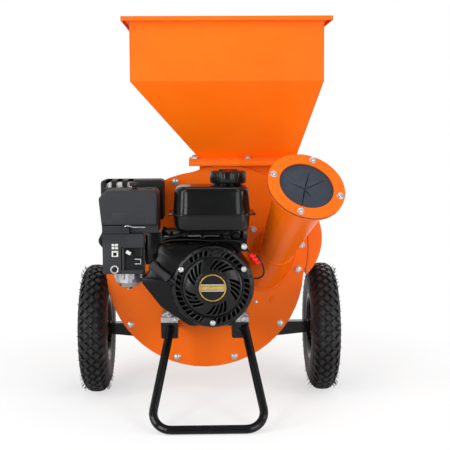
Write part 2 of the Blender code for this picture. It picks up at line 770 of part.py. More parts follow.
def make_chute_flap():
    flap = rod("chute_flap", mouth_point(0, 0, GAP), mouth_point(0, 0, GAP + FLAP_T),
               MOUTH_FLANGE_R - 0.001, "rubber", 40)
    meet = MOUTH + RIGHT * FLAP_MEET[0] + UP * FLAP_MEET[1]
    star = rod("flap_slits", meet - OUT * 0.012, meet + OUT * 0.016, FLAP_SLIT * 1.2, None, 11)
    for number, (turn, length) in enumerate(FLAP_SLITS):
        bm = bmesh.new()
        made = bmesh.ops.create_cube(bm, size=1.0)["verts"]
        bmesh.ops.scale(bm, vec=(length, FLAP_SLIT, 0.02 + 0.0007 * number), verts=made)
        bmesh.ops.translate(bm, vec=(length / 2, 0, 0), verts=made)
        frame = Matrix((RIGHT, UP, OUT)).transposed().to_4x4()
        place = Matrix.Translation(meet) @ frame @ Matrix.Rotation(math.radians(turn), 4, "Z")
        bmesh.ops.transform(bm, matrix=place, verts=made)
        join(star, from_bmesh("flap_slit_%d" % number, bm))
    cut(flap, star)
    spots = [mouth_point(MOUTH_BOLT_R, MOUTH_BOLT_TURN + math.pi / 2 * k) for k in range(4)]
    cut(flap, holes("flap_holes", spots, OUT, BOLT_R + GAP, 0.02, 0.02))
    return flap


def chute_bolts():
    bm = bmesh.new()
    stack = 2 * GAP + FLAP_T + RING_T - SINK
    for k in range(4):
        at = mouth_point(MOUTH_BOLT_R, MOUTH_BOLT_TURN + math.pi / 2 * k, stack)
        add_bolt(bm, at, OUT, BOLT_R, stack + MOUTH_FLANGE_T + GAP)
    return from_bmesh("chute_bolts", bm)


# Rotor stack behind the front plate
BLADE_FRONT = PLATE_T + BLADE_GAP
DISC_FRONT = BLADE_FRONT + BLADE_T + GAP
DISC_BACK = DISC_FRONT + DISC_T
REAR_DISC_BACK = DRUM_DEPTH - ROTOR_BACK
REAR_DISC_FRONT = REAR_DISC_BACK - REAR_DISC_T
PIN_AT = []
for pin_number in range(HAMMERS):
    pin_angle = math.radians(45 + 360 * pin_number / HAMMERS)
    PIN_AT.append((PIN_CIRCLE * math.cos(pin_angle), CRANK_H + PIN_CIRCLE * math.sin(pin_angle)))


def make_crankshaft():
    """Stepped shaft from the flywheel nut to the rotor's end bolt."""
    start = FLYWHEEL_BACK - FLYWHEEL_T - 0.020
    profile = [
        (0, start), (0.011, start), (0.011, FLYWHEEL_BACK + 0.001), (SHAFT_R, FLYWHEEL_BACK + 0.001),
        (SHAFT_R, SHAFT_END), (0, SHAFT_END),
    ]
    return turned("crankshaft", profile, (0, 0, CRANK_H), (0, 1, 0), "steel", 24)


FLYWHEEL_BACK = SHROUD_REAR - 0.020


def make_rotor():
    profile = [
        (SHAFT_R + GAP, DISC_FRONT), (DISC_R, DISC_FRONT), (DISC_R, DISC_BACK), (HUB_R, DISC_BACK),
        (HUB_R, REAR_DISC_FRONT), (REAR_DISC_R, REAR_DISC_FRONT), (REAR_DISC_R, REAR_DISC_BACK),
        (SHAFT_R + GAP, REAR_DISC_BACK),
    ]
    rotor = turned("rotor", profile, (0, 0, CRANK_H), (0, 1, 0), "steel", 40)
    join(rotor, pin_rods())
    for side in (1, -1):
        ends = sorted((side * (BLADE_MID - BLADE_LONG / 2), side * (BLADE_MID + BLADE_LONG / 2)))
        edges = sorted((CRANK_H + side * (BLADE_EDGE - CHIP_WINDOW), CRANK_H + side * BLADE_EDGE))
        cut(rotor, block("chip_window_%d" % (side > 0), (ends[0], 0, edges[0]),
                         (ends[1], DISC_BACK + BITE, edges[1])))
    return rotor


def make_blades():
    for number, side in ((1, 1), (2, -1)):
        ends = sorted((side * (BLADE_MID - BLADE_LONG / 2), side * (BLADE_MID + BLADE_LONG / 2)))
        edges = sorted((CRANK_H + side * BLADE_EDGE, CRANK_H + side * (BLADE_EDGE + BLADE_WIDE)))
        blade = block("chipper_blade_%d" % number, (ends[0], BLADE_FRONT, edges[0]),
                      (ends[1], BLADE_FRONT + BLADE_T, edges[1]), "steel")
        bevel_side = edges[0] if side > 0 else edges[1]
        slope = block("blade_bevel_%d" % number, (ends[0] - BITE, -0.006, -0.012),
                      (ends[1] + BITE, 0.006, 0))
        slope.location = (0, BLADE_FRONT + BLADE_T, bevel_side)
        slope.rotation_euler = (math.radians(-35 if side > 0 else 215), 0, 0)
        cut(blade, slope)


def pin_rods():
    """The hammer pins with their heads behind the rear disc."""
    bm = bmesh.new()
    for x, z in PIN_AT:
        add_rod(bm, (x, DISC_BACK - 0.006, z), (x, REAR_DISC_BACK + 0.002, z), PIN_R, 12)
    pins = from_bmesh("hammer_pins", bm)
    heads = bmesh.new()
    for x, z in PIN_AT:
        add_rod(heads, (x, REAR_DISC_BACK - SINK, z), (x, REAR_DISC_BACK + 0.004, z), PIN_R * 1.6, 12)
    join(pins, from_bmesh("pin_heads", heads))
    return pins


def make_hammer(number):
    """A sleeve on its pin with three bars, hanging straight down at rest."""
    x, z = PIN_AT[number - 1]
    front = DISC_BACK + RUN
    back = REAR_DISC_FRONT - RUN
    name = "hammer_%d" % number
    hammer = rod(name, (x, front, z), (x, back, z), SLEEVE_R, "steel", 12)
    span = (back - front - HAMMER_T) / (HAMMER_BARS - 1)
    for k in range(HAMMER_BARS):
        y = front + span * k
        low = 0.0001 if k == 0 else 0.0
        bar = block("%s_bar_%d" % (name, k), (x - HAMMER_WIDE / 2, y + low, z - HAMMER_REACH),
                    (x + HAMMER_WIDE / 2, y + HAMMER_T - 0.0001, z))
        join(hammer, bar)
    cut(hammer, rod(name + "_bore", (x, front - BITE, z), (x, back + BITE, z), PIN_R + GAP, None, 12))
    set_origin(hammer, (x, 0, z))
    return hammer


def make_bed_knife():
    knife = block("bed_knife", (KNIFE_LEFT, PLATE_BACK, KNIFE_LOW),
                  (KNIFE_RIGHT, PLATE_BACK + KNIFE_T, KNIFE_HIGH), "steel", 0.001, 1)
    cut(knife, holes("knife_holes", KNIFE_BOLT_AT, (0, 1, 0), BOLT_R + GAP, 0.02, 0.03))
    return knife


TYRE_SHAPE = [(BEAD_R, TYRE_W * 0.31), (BEAD_R + 0.018, TYRE_W * 0.47), (WHEEL_R - 0.050, TYRE_W / 2),
              (WHEEL_R - 0.021, TYRE_W * 0.40), (WHEEL_R - 0.005, TYRE_W * 0.225), (WHEEL_R, 0)]


def over_tyre(x):
    """Height of the right tyre's shoulder or crown at x."""
    away = abs(x - TYRE_X["right"])
    crown = TYRE_SHAPE[2:]
    for (low, wide), (high, narrow) in zip(crown, crown[1:]):
        if narrow <= away < wide:
            return WHEEL_R + low + (high - low) * (wide - away) / (wide - narrow)
    return 0.0


def hood_outline(inset):
    """The hood seen from the front: straight floor, then the round outer wall up to the neck."""
    centre = HOOD_CENTRE
    tip = []
    for x, z in arc(centre, HOOD_R - inset, HOOD_TIP, HOOD_TOP, 18):
        if z < over_tyre(x) + HOOD_OVER_TYRE:
            z = over_tyre(x) + 2 * HOOD_OVER_TYRE + inset * 1.2
        tip.append((x, z))
    step = (HOOD_STEP[0] + inset, HOOD_STEP[1] + inset * 1.2)
    floor = [(HOOD_START[0], HOOD_START[1] + inset * 1.4), step]
    tip = [point for point in tip if point[0] > step[0] + 0.001]
    foot = (step[0], tip[0][1] - 0.001)
    return floor + [foot] + tip + [(HOOD_START[0], tip[-1][1])]


def make_hood():
    hood = flat("discharge_hood", hood_outline(0.0), HOOD_FRONT, HOOD_BACK, "orange_paint")
    cut(hood, outer_drum("hood_fit", GAP, -0.02, HOOD_BACK + BITE))
    inside = flat("hood_inside", hood_outline(HOOD_T), HOOD_FRONT + HOOD_T, HOOD_BACK + BITE)
    cut(inside, outer_drum("hood_wall", GAP + HOOD_T, -0.02, HOOD_BACK + 2 * BITE))
    cut(hood, inside)
    back = flat("hood_back", hood_outline(0.0005), HOOD_BACK - HOOD_T, HOOD_BACK)
    cut(back, block("hood_mouth", (HOOD_X - HOOD_R, HOOD_BACK / 2, HOOD_CENTRE[1] - 2 * HOOD_R),
                    (HOOD_X + 2 * HOOD_R, HOOD_BACK * 2, HOOD_MOUTH_TOP)))
    cut(back, outer_drum("back_fit", GAP + 0.001, -0.02, HOOD_BACK + 2 * BITE))
    join(hood, back)
    cut(hood, holes("hood_hole", LOBE_BOLT_AT, (0, 1, 0), BOLT_R + GAP, 0, HOOD_FRONT + HOOD_T + BITE))
    cut(hood, block("hood_window", (NECK_RIGHT - 0.030, OUTLET_FRONT, OUTLET_LOW),
                    (NECK_RIGHT + 0.012, OUTLET_REAR, OUTLET_HIGH)))
    return hood


def make_screen():
    """Grate of bars across the outlet, set in the hood's window."""
    thick = HOOD_T - 2 * GAP
    clear = 0.0006
    left = NECK_RIGHT + 2 * GAP
    low = OUTLET_LOW + clear
    high = OUTLET_HIGH - clear
    front = OUTLET_FRONT + clear
    rear = OUTLET_REAR - clear
    screen = block("discharge_screen", (left, front, low), (left + thick, rear, high), "steel")
    rows = 5
    pitch = (high - low - 0.006) / rows
    for k in range(rows):
        z = low + 0.006 + pitch * k
        cut(screen, block("screen_slot_%d" % k, (left - BITE, front + 0.006, z),
                          (left + BITE * 2, rear - 0.006, z + pitch - 0.006)))
    return screen


DEFLECTOR_PIN_AT = (HOOD_BACK + 0.0075, HOOD_MOUTH_TOP + 0.008)
DEFLECTOR_LEFT = NECK_RIGHT + 0.004
DEFLECTOR_RIGHT = (HOOD_CENTRE[0] - 0.003
                   + math.sqrt(HOOD_R ** 2 - (DEFLECTOR_PIN_AT[1] - HOOD_CENTRE[1]) ** 2))


def make_deflector():
    """Flap behind the hood's mouth, with a knuckle for the hinge pin at its top."""
    y, z = DEFLECTOR_PIN_AT
    outline = hood_outline(-0.002)
    flap = flat("discharge_deflector", outline, HOOD_BACK + 0.001, HOOD_BACK + 0.001 + DEFLECTOR_T,
                "orange_paint")
    near = HOOD_BACK / 2
    far = HOOD_BACK * 2
    side = HOOD_X - HOOD_R
    past = HOOD_X + 2 * HOOD_R
    high = z + 2 * HOOD_R
    cut(flap, block("flap_left", (side, near, z - 2 * HOOD_R), (DEFLECTOR_LEFT, far, high)))
    cut(flap, block("flap_top", (side, near, z), (past, far, high)))
    cut(flap, block("flap_lugs", (side, near, z - LUG_ROOM), (DEFLECTOR_LEFT + LUG_ROOM, far, high)))
    cut(flap, block("flap_lugs_right", (DEFLECTOR_RIGHT - LUG_ROOM, near, z - LUG_ROOM), (past, far, high)))
    knuckle = rod("flap_knuckle", (DEFLECTOR_LEFT + 0.009, y, z), (DEFLECTOR_RIGHT - 0.009, y, z), 0.0065,
                  None, 16)
    join(flap, knuckle)
    join(flap, block("flap_root", (DEFLECTOR_LEFT + 0.009, y, z - 0.003),
                     (DEFLECTOR_RIGHT - 0.009, y + 0.006, z + 0.003)))
    cut(flap, rod("flap_bore", (DEFLECTOR_LEFT - 0.01, y, z), (DEFLECTOR_RIGHT + 0.01, y, z),
                  DEFLECTOR_PIN_R + GAP, None, 16))
    set_origin(flap, (DEFLECTOR_LEFT, y, z))
    return flap


def make_hinge():
    """Pin and its two lugs, which stand on the rear edge of the hood."""
    y, z = DEFLECTOR_PIN_AT
    hinge = rod("deflector_hinge", (DEFLECTOR_LEFT, y, z), (DEFLECTOR_RIGHT, y, z), DEFLECTOR_PIN_R,
                "zinc", 16)
    for side, x in (("left", DEFLECTOR_LEFT + 0.001), ("right", DEFLECTOR_RIGHT - 0.008)):
        join(hinge, block("hinge_lug_" + side, (x, HOOD_BACK + GAP, z - 0.006), (x + 0.007, y + 0.006,
                                                                              z + 0.006)))
    return hinge


def make_tyre(side):
    """Hollow tyre section, open between its beads."""
    half = TYRE_W / 2
    outer = [(r, -h) for r, h in TYRE_SHAPE] + TYRE_SHAPE[-2::-1]
    wall = 0.008
    inner = [(BEAD_R, half * 0.62 - wall), (WHEEL_R - 0.050, half - wall), (WHEEL_R - 0.026, half * 0.62),
             (WHEEL_R - 0.013, 0)]
    inner += [(r, -h) for r, h in inner[-2::-1]]
    at = (TYRE_X[side], WHEEL_BACK, WHEEL_R)
    return turned(side + "_tyre", outer + inner, at, (1, 0, 0), "tyre_rubber", WHEEL_STEPS)


def make_rim(side):
    """Pressed rim with its disc and hub tube in one turned piece."""
    half = TYRE_W / 2
    bead = BEAD_R - GAP
    lip = half * 0.62 + 0.003
    hub_in = AXLE_R + BUSH_WALL + 2 * GAP
    profile = [
        (hub_in, -HUB_HALF), (HUB_OUT_R, -HUB_HALF), (HUB_OUT_R, -0.004), (bead - 0.010, -0.004),
        (bead - 0.003, -lip), (RIM_LIP_R, -lip - 0.010), (RIM_LIP_R, -lip - 0.007), (bead, -lip + 0.002),
        (bead, lip - 0.002), (RIM_LIP_R, lip + 0.007), (RIM_LIP_R, lip + 0.010), (bead - 0.003, lip),
        (bead - 0.010, 0.004), (HUB_OUT_R, 0.004), (HUB_OUT_R, HUB_HALF), (hub_in, HUB_HALF),
    ]
    at = (TYRE_X[side], WHEEL_BACK, WHEEL_R)
    return turned(side + "_rim", profile, at, (1, 0, 0), "black_paint", WHEEL_STEPS)


def make_bushes(side):
    """Bush through the hub with a flange on the arm's side."""
    sign = 1 if side == "right" else -1
    inner = AXLE_R + GAP
    outer = AXLE_R + BUSH_WALL
    profile = [(inner, HUB_HALF - GAP), (outer, HUB_HALF - GAP), (outer, -HUB_HALF - GAP),
               (HUB_OUT_R - 0.002, -HUB_HALF - GAP), (HUB_OUT_R - 0.002, -HUB_HALF - 0.002),
               (inner, -HUB_HALF - 0.002)]
    at = (TYRE_X[side], WHEEL_BACK, WHEEL_R)
    return turned(side + "_bearing", profile, at, (sign, 0, 0), "bronze", 16)


def arm_points(side):
    """Where an arm leaves the drum and where its shoulder meets the wheel hub."""
    sign = 1 if side == "right" else -1
    shoulder = TYRE_X[side] - sign * (HUB_HALF + 0.002 + RUN)
    return sign, shoulder


def make_arm(side):
    """Tapered arm fitted to the drum's side, with its stub axle."""
    sign, shoulder = arm_points(side)
    inner_x = ROUND_AT[0] + sign * 0.100
    half_deep = ARM_DEEP / 2
    rings = []
    root = CRANK_H + ARM_UP
    for x, low, high, deep in (
            (inner_x, root - ARM_HIGH * 0.62, root + ARM_HIGH * 0.62, half_deep + 0.010),
            (shoulder - sign * 0.060, WHEEL_R - ARM_TIP_HIGH * 0.70, WHEEL_R + ARM_TIP_HIGH * 0.50,
             half_deep * 0.75),
            (shoulder - sign * 0.001, WHEEL_R - ARM_TIP_HIGH * 0.50, WHEEL_R + ARM_TIP_HIGH * 0.50,
             half_deep * 0.75)):
        rings.append([Vector((x, WHEEL_BACK - deep, low)), Vector((x, WHEEL_BACK + deep, low)),
                      Vector((x, WHEEL_BACK + deep, high)), Vector((x, WHEEL_BACK - deep, high))])
    arm = ring_loft(side + "_axle_arm", rings, "black_paint")
    for polygon in arm.data.polygons:
        polygon.use_smooth = False
    axle_end = TYRE_X[side] + sign * (HUB_HALF + AXLE_PAST)
    join(arm, rod(side + "_stub", (shoulder - sign * 0.020, WHEEL_BACK, WHEEL_R),
                  (axle_end, WHEEL_BACK, WHEEL_R), AXLE_R, None, 20))
    join(arm, rod(side + "_collar", (shoulder - sign * 0.006, WHEEL_BACK, WHEEL_R),
                  (shoulder, WHEEL_BACK, WHEEL_R), ARM_TIP_HIGH * 0.62, None, 20))
    cut(arm, outer_drum(side + "_arm_fit", GAP, -0.05, DRUM_DEPTH + 0.05))
    return arm


STAND_TAB_FRONT = FOOT_FRONT - GAP - RAIL_T
RAIL_BOLT_UP = -0.023
STAND_BOLT_Z = BASE_H + RAIL_BOLT_UP
RAIL_BOLT_Z = BASE_H + RAIL_BOLT_UP


def make_retainer(side):
    """Washer on the axle's end, outside the hub."""
    sign, _ = arm_points(side)
    start = TYRE_X[side] + sign * (HUB_HALF + GAP)
    profile = [(AXLE_R + GAP, 0), (HUB_OUT_R - 0.003, 0), (HUB_OUT_R - 0.003, 0.0025),
               (AXLE_R + GAP, 0.0025)]
    return turned(side + "_washer", profile, (start, WHEEL_BACK, WHEEL_R), (sign, 0, 0), "zinc", 16)


def make_rail(name, x):
    """Channel under the engine's feet, bolted to the drum's front plate."""
    top = BASE_H - GAP
    left = x - FOOT_W / 2
    right = x + FOOT_W / 2
    web = (right - RAIL_T, right) if x < 0 else (left, left + RAIL_T)
    rail = block(name, (left, FOOT_FRONT, top - RAIL_T), (right, -GAP, top), "black_paint")
    join(rail, block(name + "_web", (web[0], FOOT_FRONT, RAIL_LOW), (web[1], -GAP, top - RAIL_T / 2)))
    for end, front in (("front", FOOT_FRONT), ("rear", -GAP - RAIL_T)):
        join(rail, block("%s_%s" % (name, end), (left, front, RAIL_LOW), (right, front + RAIL_T,
                                                                        top - RAIL_T / 2)))
    spots = [(x, y, top) for y in (FOOT_BOLT_FRONT, FOOT_BOLT_REAR)]
    cut(rail, holes(name + "_foot_holes", spots, (0, 0, 1), BOLT_R + GAP, 0.01, 0.01))
    cut(rail, holes(name + "_front_hole", [(x, FOOT_FRONT, STAND_BOLT_Z)], (0, 1, 0), BOLT_R + GAP, BITE,
                    RAIL_T + BITE))
    bm = bmesh.new()
    add_bolt(bm, (x, -GAP - RAIL_T + SINK, RAIL_BOLT_Z), (0, -1, 0), BOLT_R,
             RAIL_T + 2 * GAP + PLATE_T + SINK)
    join(rail, from_bmesh(name + "_bolt", bm))
    return rail


def stand_path():
    """Leg, round corner, bar, round corner, leg: worked out in the leaning plane of the stand."""
    foot = Vector((STAND_MID, -STAND_REACH + STAND_R, STAND_R))
    top = Vector((STAND_MID, STAND_TOP_Y, STAND_TOP))
    up = (top - foot).normalized()
    across = Vector((1, 0, 0))
    height = (top - foot).length
    lean = math.atan2(STAND_LOW_HALF - STAND_TOP_HALF, height)
    centre_u = STAND_LOW_HALF - STAND_CORNER / math.tan((math.pi / 2 - lean) / 2)
    half = []
    steps = 8
    for k in range(steps + 1):
        angle = -math.pi / 2 + (math.pi / 2 + lean) * k / steps
        half.append((centre_u + STAND_CORNER * math.cos(angle),
                     STAND_CORNER * (1 + math.sin(angle))))
    half.append((STAND_TOP_HALF, height))
    points = [foot + across * u + up * v for u, v in half]
    mirrored = [foot - across * u + up * v for u, v in half[::-1]]
    return mirrored + points


def make_stand():
    stand = tube("stand", stand_path(), STAND_R, "black_paint", 4)
    for side, x in (("left", FEET_LEFT), ("right", FEET_RIGHT)):
        join(stand, block("stand_tab_" + side, (x - FOOT_W / 2 + 0.004, STAND_TAB_FRONT, RAIL_LOW),
                          (x + FOOT_W / 2 - 0.004, FOOT_FRONT - GAP, BASE_H)))
    cut(stand, block("rail_side", (-2 * STAND_LOW_HALF, FOOT_FRONT - GAP, RAIL_LOW - STAND_CORNER),
                     (2 * STAND_LOW_HALF, 0, BASE_H + STAND_CORNER)))
    bm = bmesh.new()
    for x in (FEET_LEFT, FEET_RIGHT):
        add_bolt(bm, (x, STAND_TAB_FRONT + SINK, STAND_BOLT_Z), (0, -1, 0), BOLT_R,
                 2 * RAIL_T + 2 * GAP + SINK)
    join(stand, from_bmesh("stand_bolts", bm))
    return stand


def make_crankcase():
    """Block with its feet, mounting face and shaft bore, and the rest under the tank."""
    case = block("crankcase", (-CASE_HALF, CASE_FRONT, BASE_H + FOOT_T - 0.002),
                 (CASE_HALF, -FACE_T, CASE_TOP), "cast_aluminium")
    join(case, block("tank_rest", (REST_LEFT, CASE_FRONT, CASE_TOP - 0.002),
                     (REST_RIGHT, CYL_Y - CYL_HALF - 0.001, TANK_BOTTOM - GAP)))
    join(case, rod("mount_face", crank(-FACE_T - 0.004), crank(-GAP), FACE_R, None, 32))
    left = FEET_LEFT - FOOT_W / 2
    right = FEET_RIGHT + FOOT_W / 2
    join(case, block("feet", (left, FOOT_FRONT, BASE_H), (right, FOOT_REAR, BASE_H + FOOT_T)))
    cut(case, block("feet_gap", (FEET_LEFT + FOOT_W / 2, FOOT_FRONT - BITE, BASE_H - BITE),
                    (FEET_RIGHT - FOOT_W / 2, FOOT_REAR + BITE, BASE_H + FOOT_T - 0.006)))
    cut(case, rod("case_bore", crank(CASE_FRONT - BITE), crank(BITE), SHAFT_R + GAP, None, 24))
    bm = bmesh.new()
    for x in (FEET_LEFT, FEET_RIGHT):
        for y in (FOOT_BOLT_FRONT, FOOT_BOLT_REAR):
            add_bolt(bm, (x, y, BASE_H + FOOT_T - SINK), (0, 0, 1), BOLT_R,
                     FOOT_T - SINK + RAIL_T + 2 * GAP)
    for x, y, z in FACE_BOLT_AT:
        add_bolt(bm, (x, -0.006, z), (0, -1, 0), BOLT_R, 0.006 + PLATE_T + GAP, head_h=0.5)
    join(case, from_bmesh("case_bolts", bm))
    return case


CYLINDER_TILT = math.radians(25)
EXHAUST_X = -0.146
EXHAUST_Y = -0.042
EXHAUST_AT = (EXHAUST_X, EXHAUST_Y)
EXHAUST_UP = 0.0728
EXHAUST_LOW = CRANK_H + EXHAUST_UP


def cylinder_point(along, y, up=0.0):
    """A point on the cylinder's axis, which rises to the left, at a distance from the crank."""
    return Vector((-along * math.cos(CYLINDER_TILT) + up * math.sin(CYLINDER_TILT), y,
                   CRANK_H + along * math.sin(CYLINDER_TILT) + up * math.cos(CYLINDER_TILT)))


CYL_Y = (CASE_FRONT + -FACE_T) / 2
CYL_HALF = 0.050
FIN_FIRST = 0.094
FIN_PITCH = 0.009
FINS = 7
FIN_T = 0.003


def slab(name, near, far, half_y, half_up, kind=None):
    """A block across the cylinder's axis, between two distances from the crank."""
    rings = []
    for along in (near, far):
        rings.append([cylinder_point(along, CYL_Y - half_y, -half_up),
                      cylinder_point(along, CYL_Y + half_y, -half_up),
                      cylinder_point(along, CYL_Y + half_y, half_up),
                      cylinder_point(along, CYL_Y - half_y, half_up)])
    return ring_loft(name, rings, kind)


def make_cylinder():
    head = FIN_FIRST + FIN_PITCH * FINS
    cylinder = slab("cylinder", FIN_FIRST - 0.010, head + 0.016, 0.034, 0.034, "cast_aluminium")
    for k in range(FINS):
        near = FIN_FIRST + FIN_PITCH * k
        join(cylinder, slab("fin_%d" % k, near, near + FIN_T, CYL_HALF, CYL_HALF))
    join(cylinder, block("intake", (CARB_AT[0] - 0.025, CARB_BACK + GAP, CARB_TOP - 0.042),
                         (-0.128, CYL_Y - CYL_HALF + 0.009, CARB_TOP - 0.014)))
    join(cylinder, block("exhaust_port", (EXHAUST_AT[0] - 0.010, CYL_Y + 0.033, EXHAUST_LOW - 0.0208),
                         (EXHAUST_AT[0] + 0.010, EXHAUST_AT[1] + 0.014, EXHAUST_LOW - GAP)))
    cut(cylinder, block("case_side", (-CASE_HALF - GAP, CASE_FRONT - 0.02, BASE_H - 0.036),
                        (CASE_HALF, 0.02, CASE_TOP + 0.1)))
    return cylinder


def make_valve_cover():
    start = FIN_FIRST + FIN_PITCH * FINS + 0.016 + GAP
    cover = slab("valve_cover", start, start + 0.024, 0.040, 0.034, "black_paint")
    soften(cover, 0.006)
    return cover


SHROUD_OUTLINE = (
    [(SHROUD_LEFT, CRANK_H + SHROUD_R - 0.012), (SHROUD_LEFT + 0.012, CRANK_H + SHROUD_R)]
    + arc((0, CRANK_H), SHROUD_R, math.radians(90), math.radians(-55), 22)
    + [(SHROUD_FOOT_RIGHT, SHROUD_BOTTOM), (SHROUD_FOOT_LEFT, SHROUD_BOTTOM),
       (SHROUD_LEFT + 0.008, SHROUD_BOTTOM + 0.048), (SHROUD_SIDE, SHROUD_KNEE - 0.012),
       (SHROUD_SIDE, SHROUD_KNEE), (SHROUD_SIDE + 0.0115, SHROUD_KNEE + 0.0035),
       (SHROUD_LEFT, SHROUD_KNEE + 0.051)]
)


def shrunk(points, inset):
    """The outline drawn in by inset towards the crank axis."""
    made = []
    for x, z in points:
        offset = Vector((x, z - CRANK_H))
        offset *= 1 - inset / offset.length
        made.append((offset.x, CRANK_H + offset.y))
    return made


def make_shroud():
    shroud = flat("fan_shroud", SHROUD_OUTLINE, SHROUD_FRONT, SHROUD_REAR, "black_plastic")
    cut(shroud, flat("shroud_inside", shrunk(SHROUD_OUTLINE, SHROUD_T * 1.6), SHROUD_FRONT + SHROUD_T,
                     SHROUD_REAR + BITE))
    x, z = THROTTLE_AT
    back = THROTTLE_FRONT - RUN
    join(shroud, block("throttle_bracket", (PANEL_RIGHT + RUN, back - BRACKET_T, BRACKET_LOW),
                       (SHROUD_LEFT + 0.010, back, FILTER_LOW - GAP)))
    join(shroud, rod("throttle_pin", (x, back - 0.001, z), (x, THROTTLE_FRONT + LEVER_BOSS, z),
                     LEVER_PIN_R, None, 12))
    cut(shroud, rod("fan_mouth", crank(SHROUD_FRONT - BITE), crank(SHROUD_FRONT + BITE), SHROUD_R - 0.010,
                    None, 48))
    return shroud


def make_flywheel():
    back = FLYWHEEL_BACK
    profile = [(0.011 + GAP, back - FLYWHEEL_T), (FLYWHEEL_R, back - FLYWHEEL_T), (FLYWHEEL_R, back),
               (0.011 + GAP, back)]
    wheel = turned("flywheel", profile, (0, 0, CRANK_H), (0, 1, 0), "cast_iron", 32)
    bm = bmesh.new()
    for k in range(VANES):
        made = bmesh.ops.create_cube(bm, size=1.0)["verts"]
        bmesh.ops.scale(bm, vec=(0.030, VANE_H, 0.003), verts=made)
        bmesh.ops.translate(bm, vec=(FLYWHEEL_R - 0.018, -VANE_H / 2 + 0.001, 0), verts=made)
        place = Matrix.Translation((0, back - FLYWHEEL_T, CRANK_H)) @ Matrix.Rotation(
            2 * math.pi * k / VANES, 4, "Y")
        bmesh.ops.transform(bm, matrix=place, verts=made)
    join(wheel, from_bmesh("vanes", bm))
    return wheel


COVER_BACK = SHROUD_FRONT - GAP
COVER_FACE = COVER_BACK - COVER_DOME


def make_recoil_cover():
    """Domed cover over the fan with its ring of slots."""
    y = COVER_BACK
    t = COVER_T
    outer = [(SHROUD_R - 0.001, y), (SHROUD_R - 0.002, y - 0.010), (SHROUD_R - 0.010, y - 0.018),
             (0.078, y - 0.021), (0.072, y - 0.026), (0.036, COVER_FACE), (0, COVER_FACE)]
    inner = [(r - t if r > t else 0, h + t) for r, h in outer[1:]]
    inner = [(SHROUD_R - 0.001 - t, y)] + inner
    cover = turned("recoil_cover", outer + inner[::-1], (0, 0, CRANK_H), (0, 1, 0), "black_plastic", 36)
    bm = bmesh.new()
    for k in range(COVER_SLOTS):
        angle = 2 * math.pi * (k + 0.5) / COVER_SLOTS
        made = bmesh.ops.create_cube(bm, size=1.0)["verts"]
        bmesh.ops.scale(bm, vec=(0.011, 0.03, 0.0075), verts=made)
        bmesh.ops.translate(bm, vec=(0.0855, 0, 0), verts=made)
        place = Matrix.Translation((0, y - 0.019, CRANK_H)) @ Matrix.Rotation(angle, 4, "Y")
        bmesh.ops.transform(bm, matrix=place, verts=made)
    cut(cover, from_bmesh("cover_slots", bm))
    bm = bmesh.new()
    for k in range(3):
        angle = math.radians(30 + 120 * k)
        at = (COVER_BOLT_R * math.cos(angle), y - 0.0200, CRANK_H + COVER_BOLT_R * math.sin(angle))
        add_bolt(bm, at, (0, -1, 0), SMALL_BOLT_R, 0.004, nut=False)
    join(cover, from_bmesh("cover_bolts", bm))
    along = Vector((math.cos(GRIP_TILT), 0, math.sin(GRIP_TILT)))
    guide = Vector(GRIP_AT) - along * (GRIP_LENGTH / 2 + 0.003)
    join(cover, rod("rope_guide", guide, guide - along * 0.013, ROPE_GUIDE_R, None, 12))
    cut(cover, rod("rope_hole", guide + along * 0.01, guide - along * 0.03, ROPE_R + 0.0007, None, 8))
    return cover


def make_badge():
    profile = [(0, COVER_FACE - GAP), (BADGE_R, COVER_FACE - GAP), (BADGE_R, COVER_FACE - BADGE_T),
               (0, COVER_FACE - BADGE_T)]
    return turned("recoil_badge", profile, (0, 0, CRANK_H), (0, 1, 0), "gold_trim", 40)


def make_grip():
    along = Vector((math.cos(GRIP_TILT), 0, math.sin(GRIP_TILT)))
    at = Vector(GRIP_AT)
    grip = rod("starter_grip", at - along * GRIP_LENGTH / 2, at + along * GRIP_LENGTH / 2, GRIP_R,
               "black_plastic", 20, GRIP_R * 0.72)
    soften(grip, 0.003)
    join(grip, rod("starter_rope", at, at - along * ROPE_LENGTH, ROPE_R, None, 8))
    set_origin(grip, GRIP_AT)
    return grip


def make_tank():
    tank = block("fuel_tank", (TANK_LEFT, TANK_FRONT, TANK_BOTTOM), (TANK_RIGHT, TANK_REAR, TANK_TOP),
                 "black_plastic", 0.016, 3)
    join(tank, block("tank_seam", (TANK_LEFT - TANK_LIP, TANK_FRONT - TANK_LIP * 0.6, TANK_SEAM - 0.002),
                     (TANK_RIGHT + TANK_LIP, TANK_REAR + TANK_LIP, TANK_SEAM + 0.002)))
    join(tank, rod("filler", (*CAP_AT, TANK_TOP - 0.006), (*CAP_AT, TANK_TOP + FILLER_UP),
                   NECK_FILL_R + FILLER_T, None, 24))
    cut(tank, block("tank_inside", (TANK_LEFT + TANK_T, TANK_FRONT + TANK_T, TANK_BOTTOM + TANK_T),
                    (TANK_RIGHT - TANK_T, TANK_REAR - TANK_T, TANK_TOP - TANK_T), None, 0.014, 2))
    cut(tank, rod("filler_bore", (*CAP_AT, TANK_TOP - 0.030), (*CAP_AT, TANK_TOP + 0.010), NECK_FILL_R,
                  None, 24))
    return tank


def make_cap():
    top = TANK_TOP + CAP_H + 0.010
    under = TANK_TOP + GAP
    lip = NECK_FILL_R + FILLER_T + CAP_AIR
    seat = TANK_TOP + FILLER_UP + GAP
    profile = [(0, top), (CAP_R - 0.004, top), (CAP_R, top - 0.004), (CAP_R, under + 0.002),
               (CAP_R - 0.002, under), (lip, under), (lip, seat), (0, seat)]
    return turned("fuel_cap", profile, (CAP_AT[0], CAP_AT[1], 0), (0, 0, 1), "black_plastic", 28)


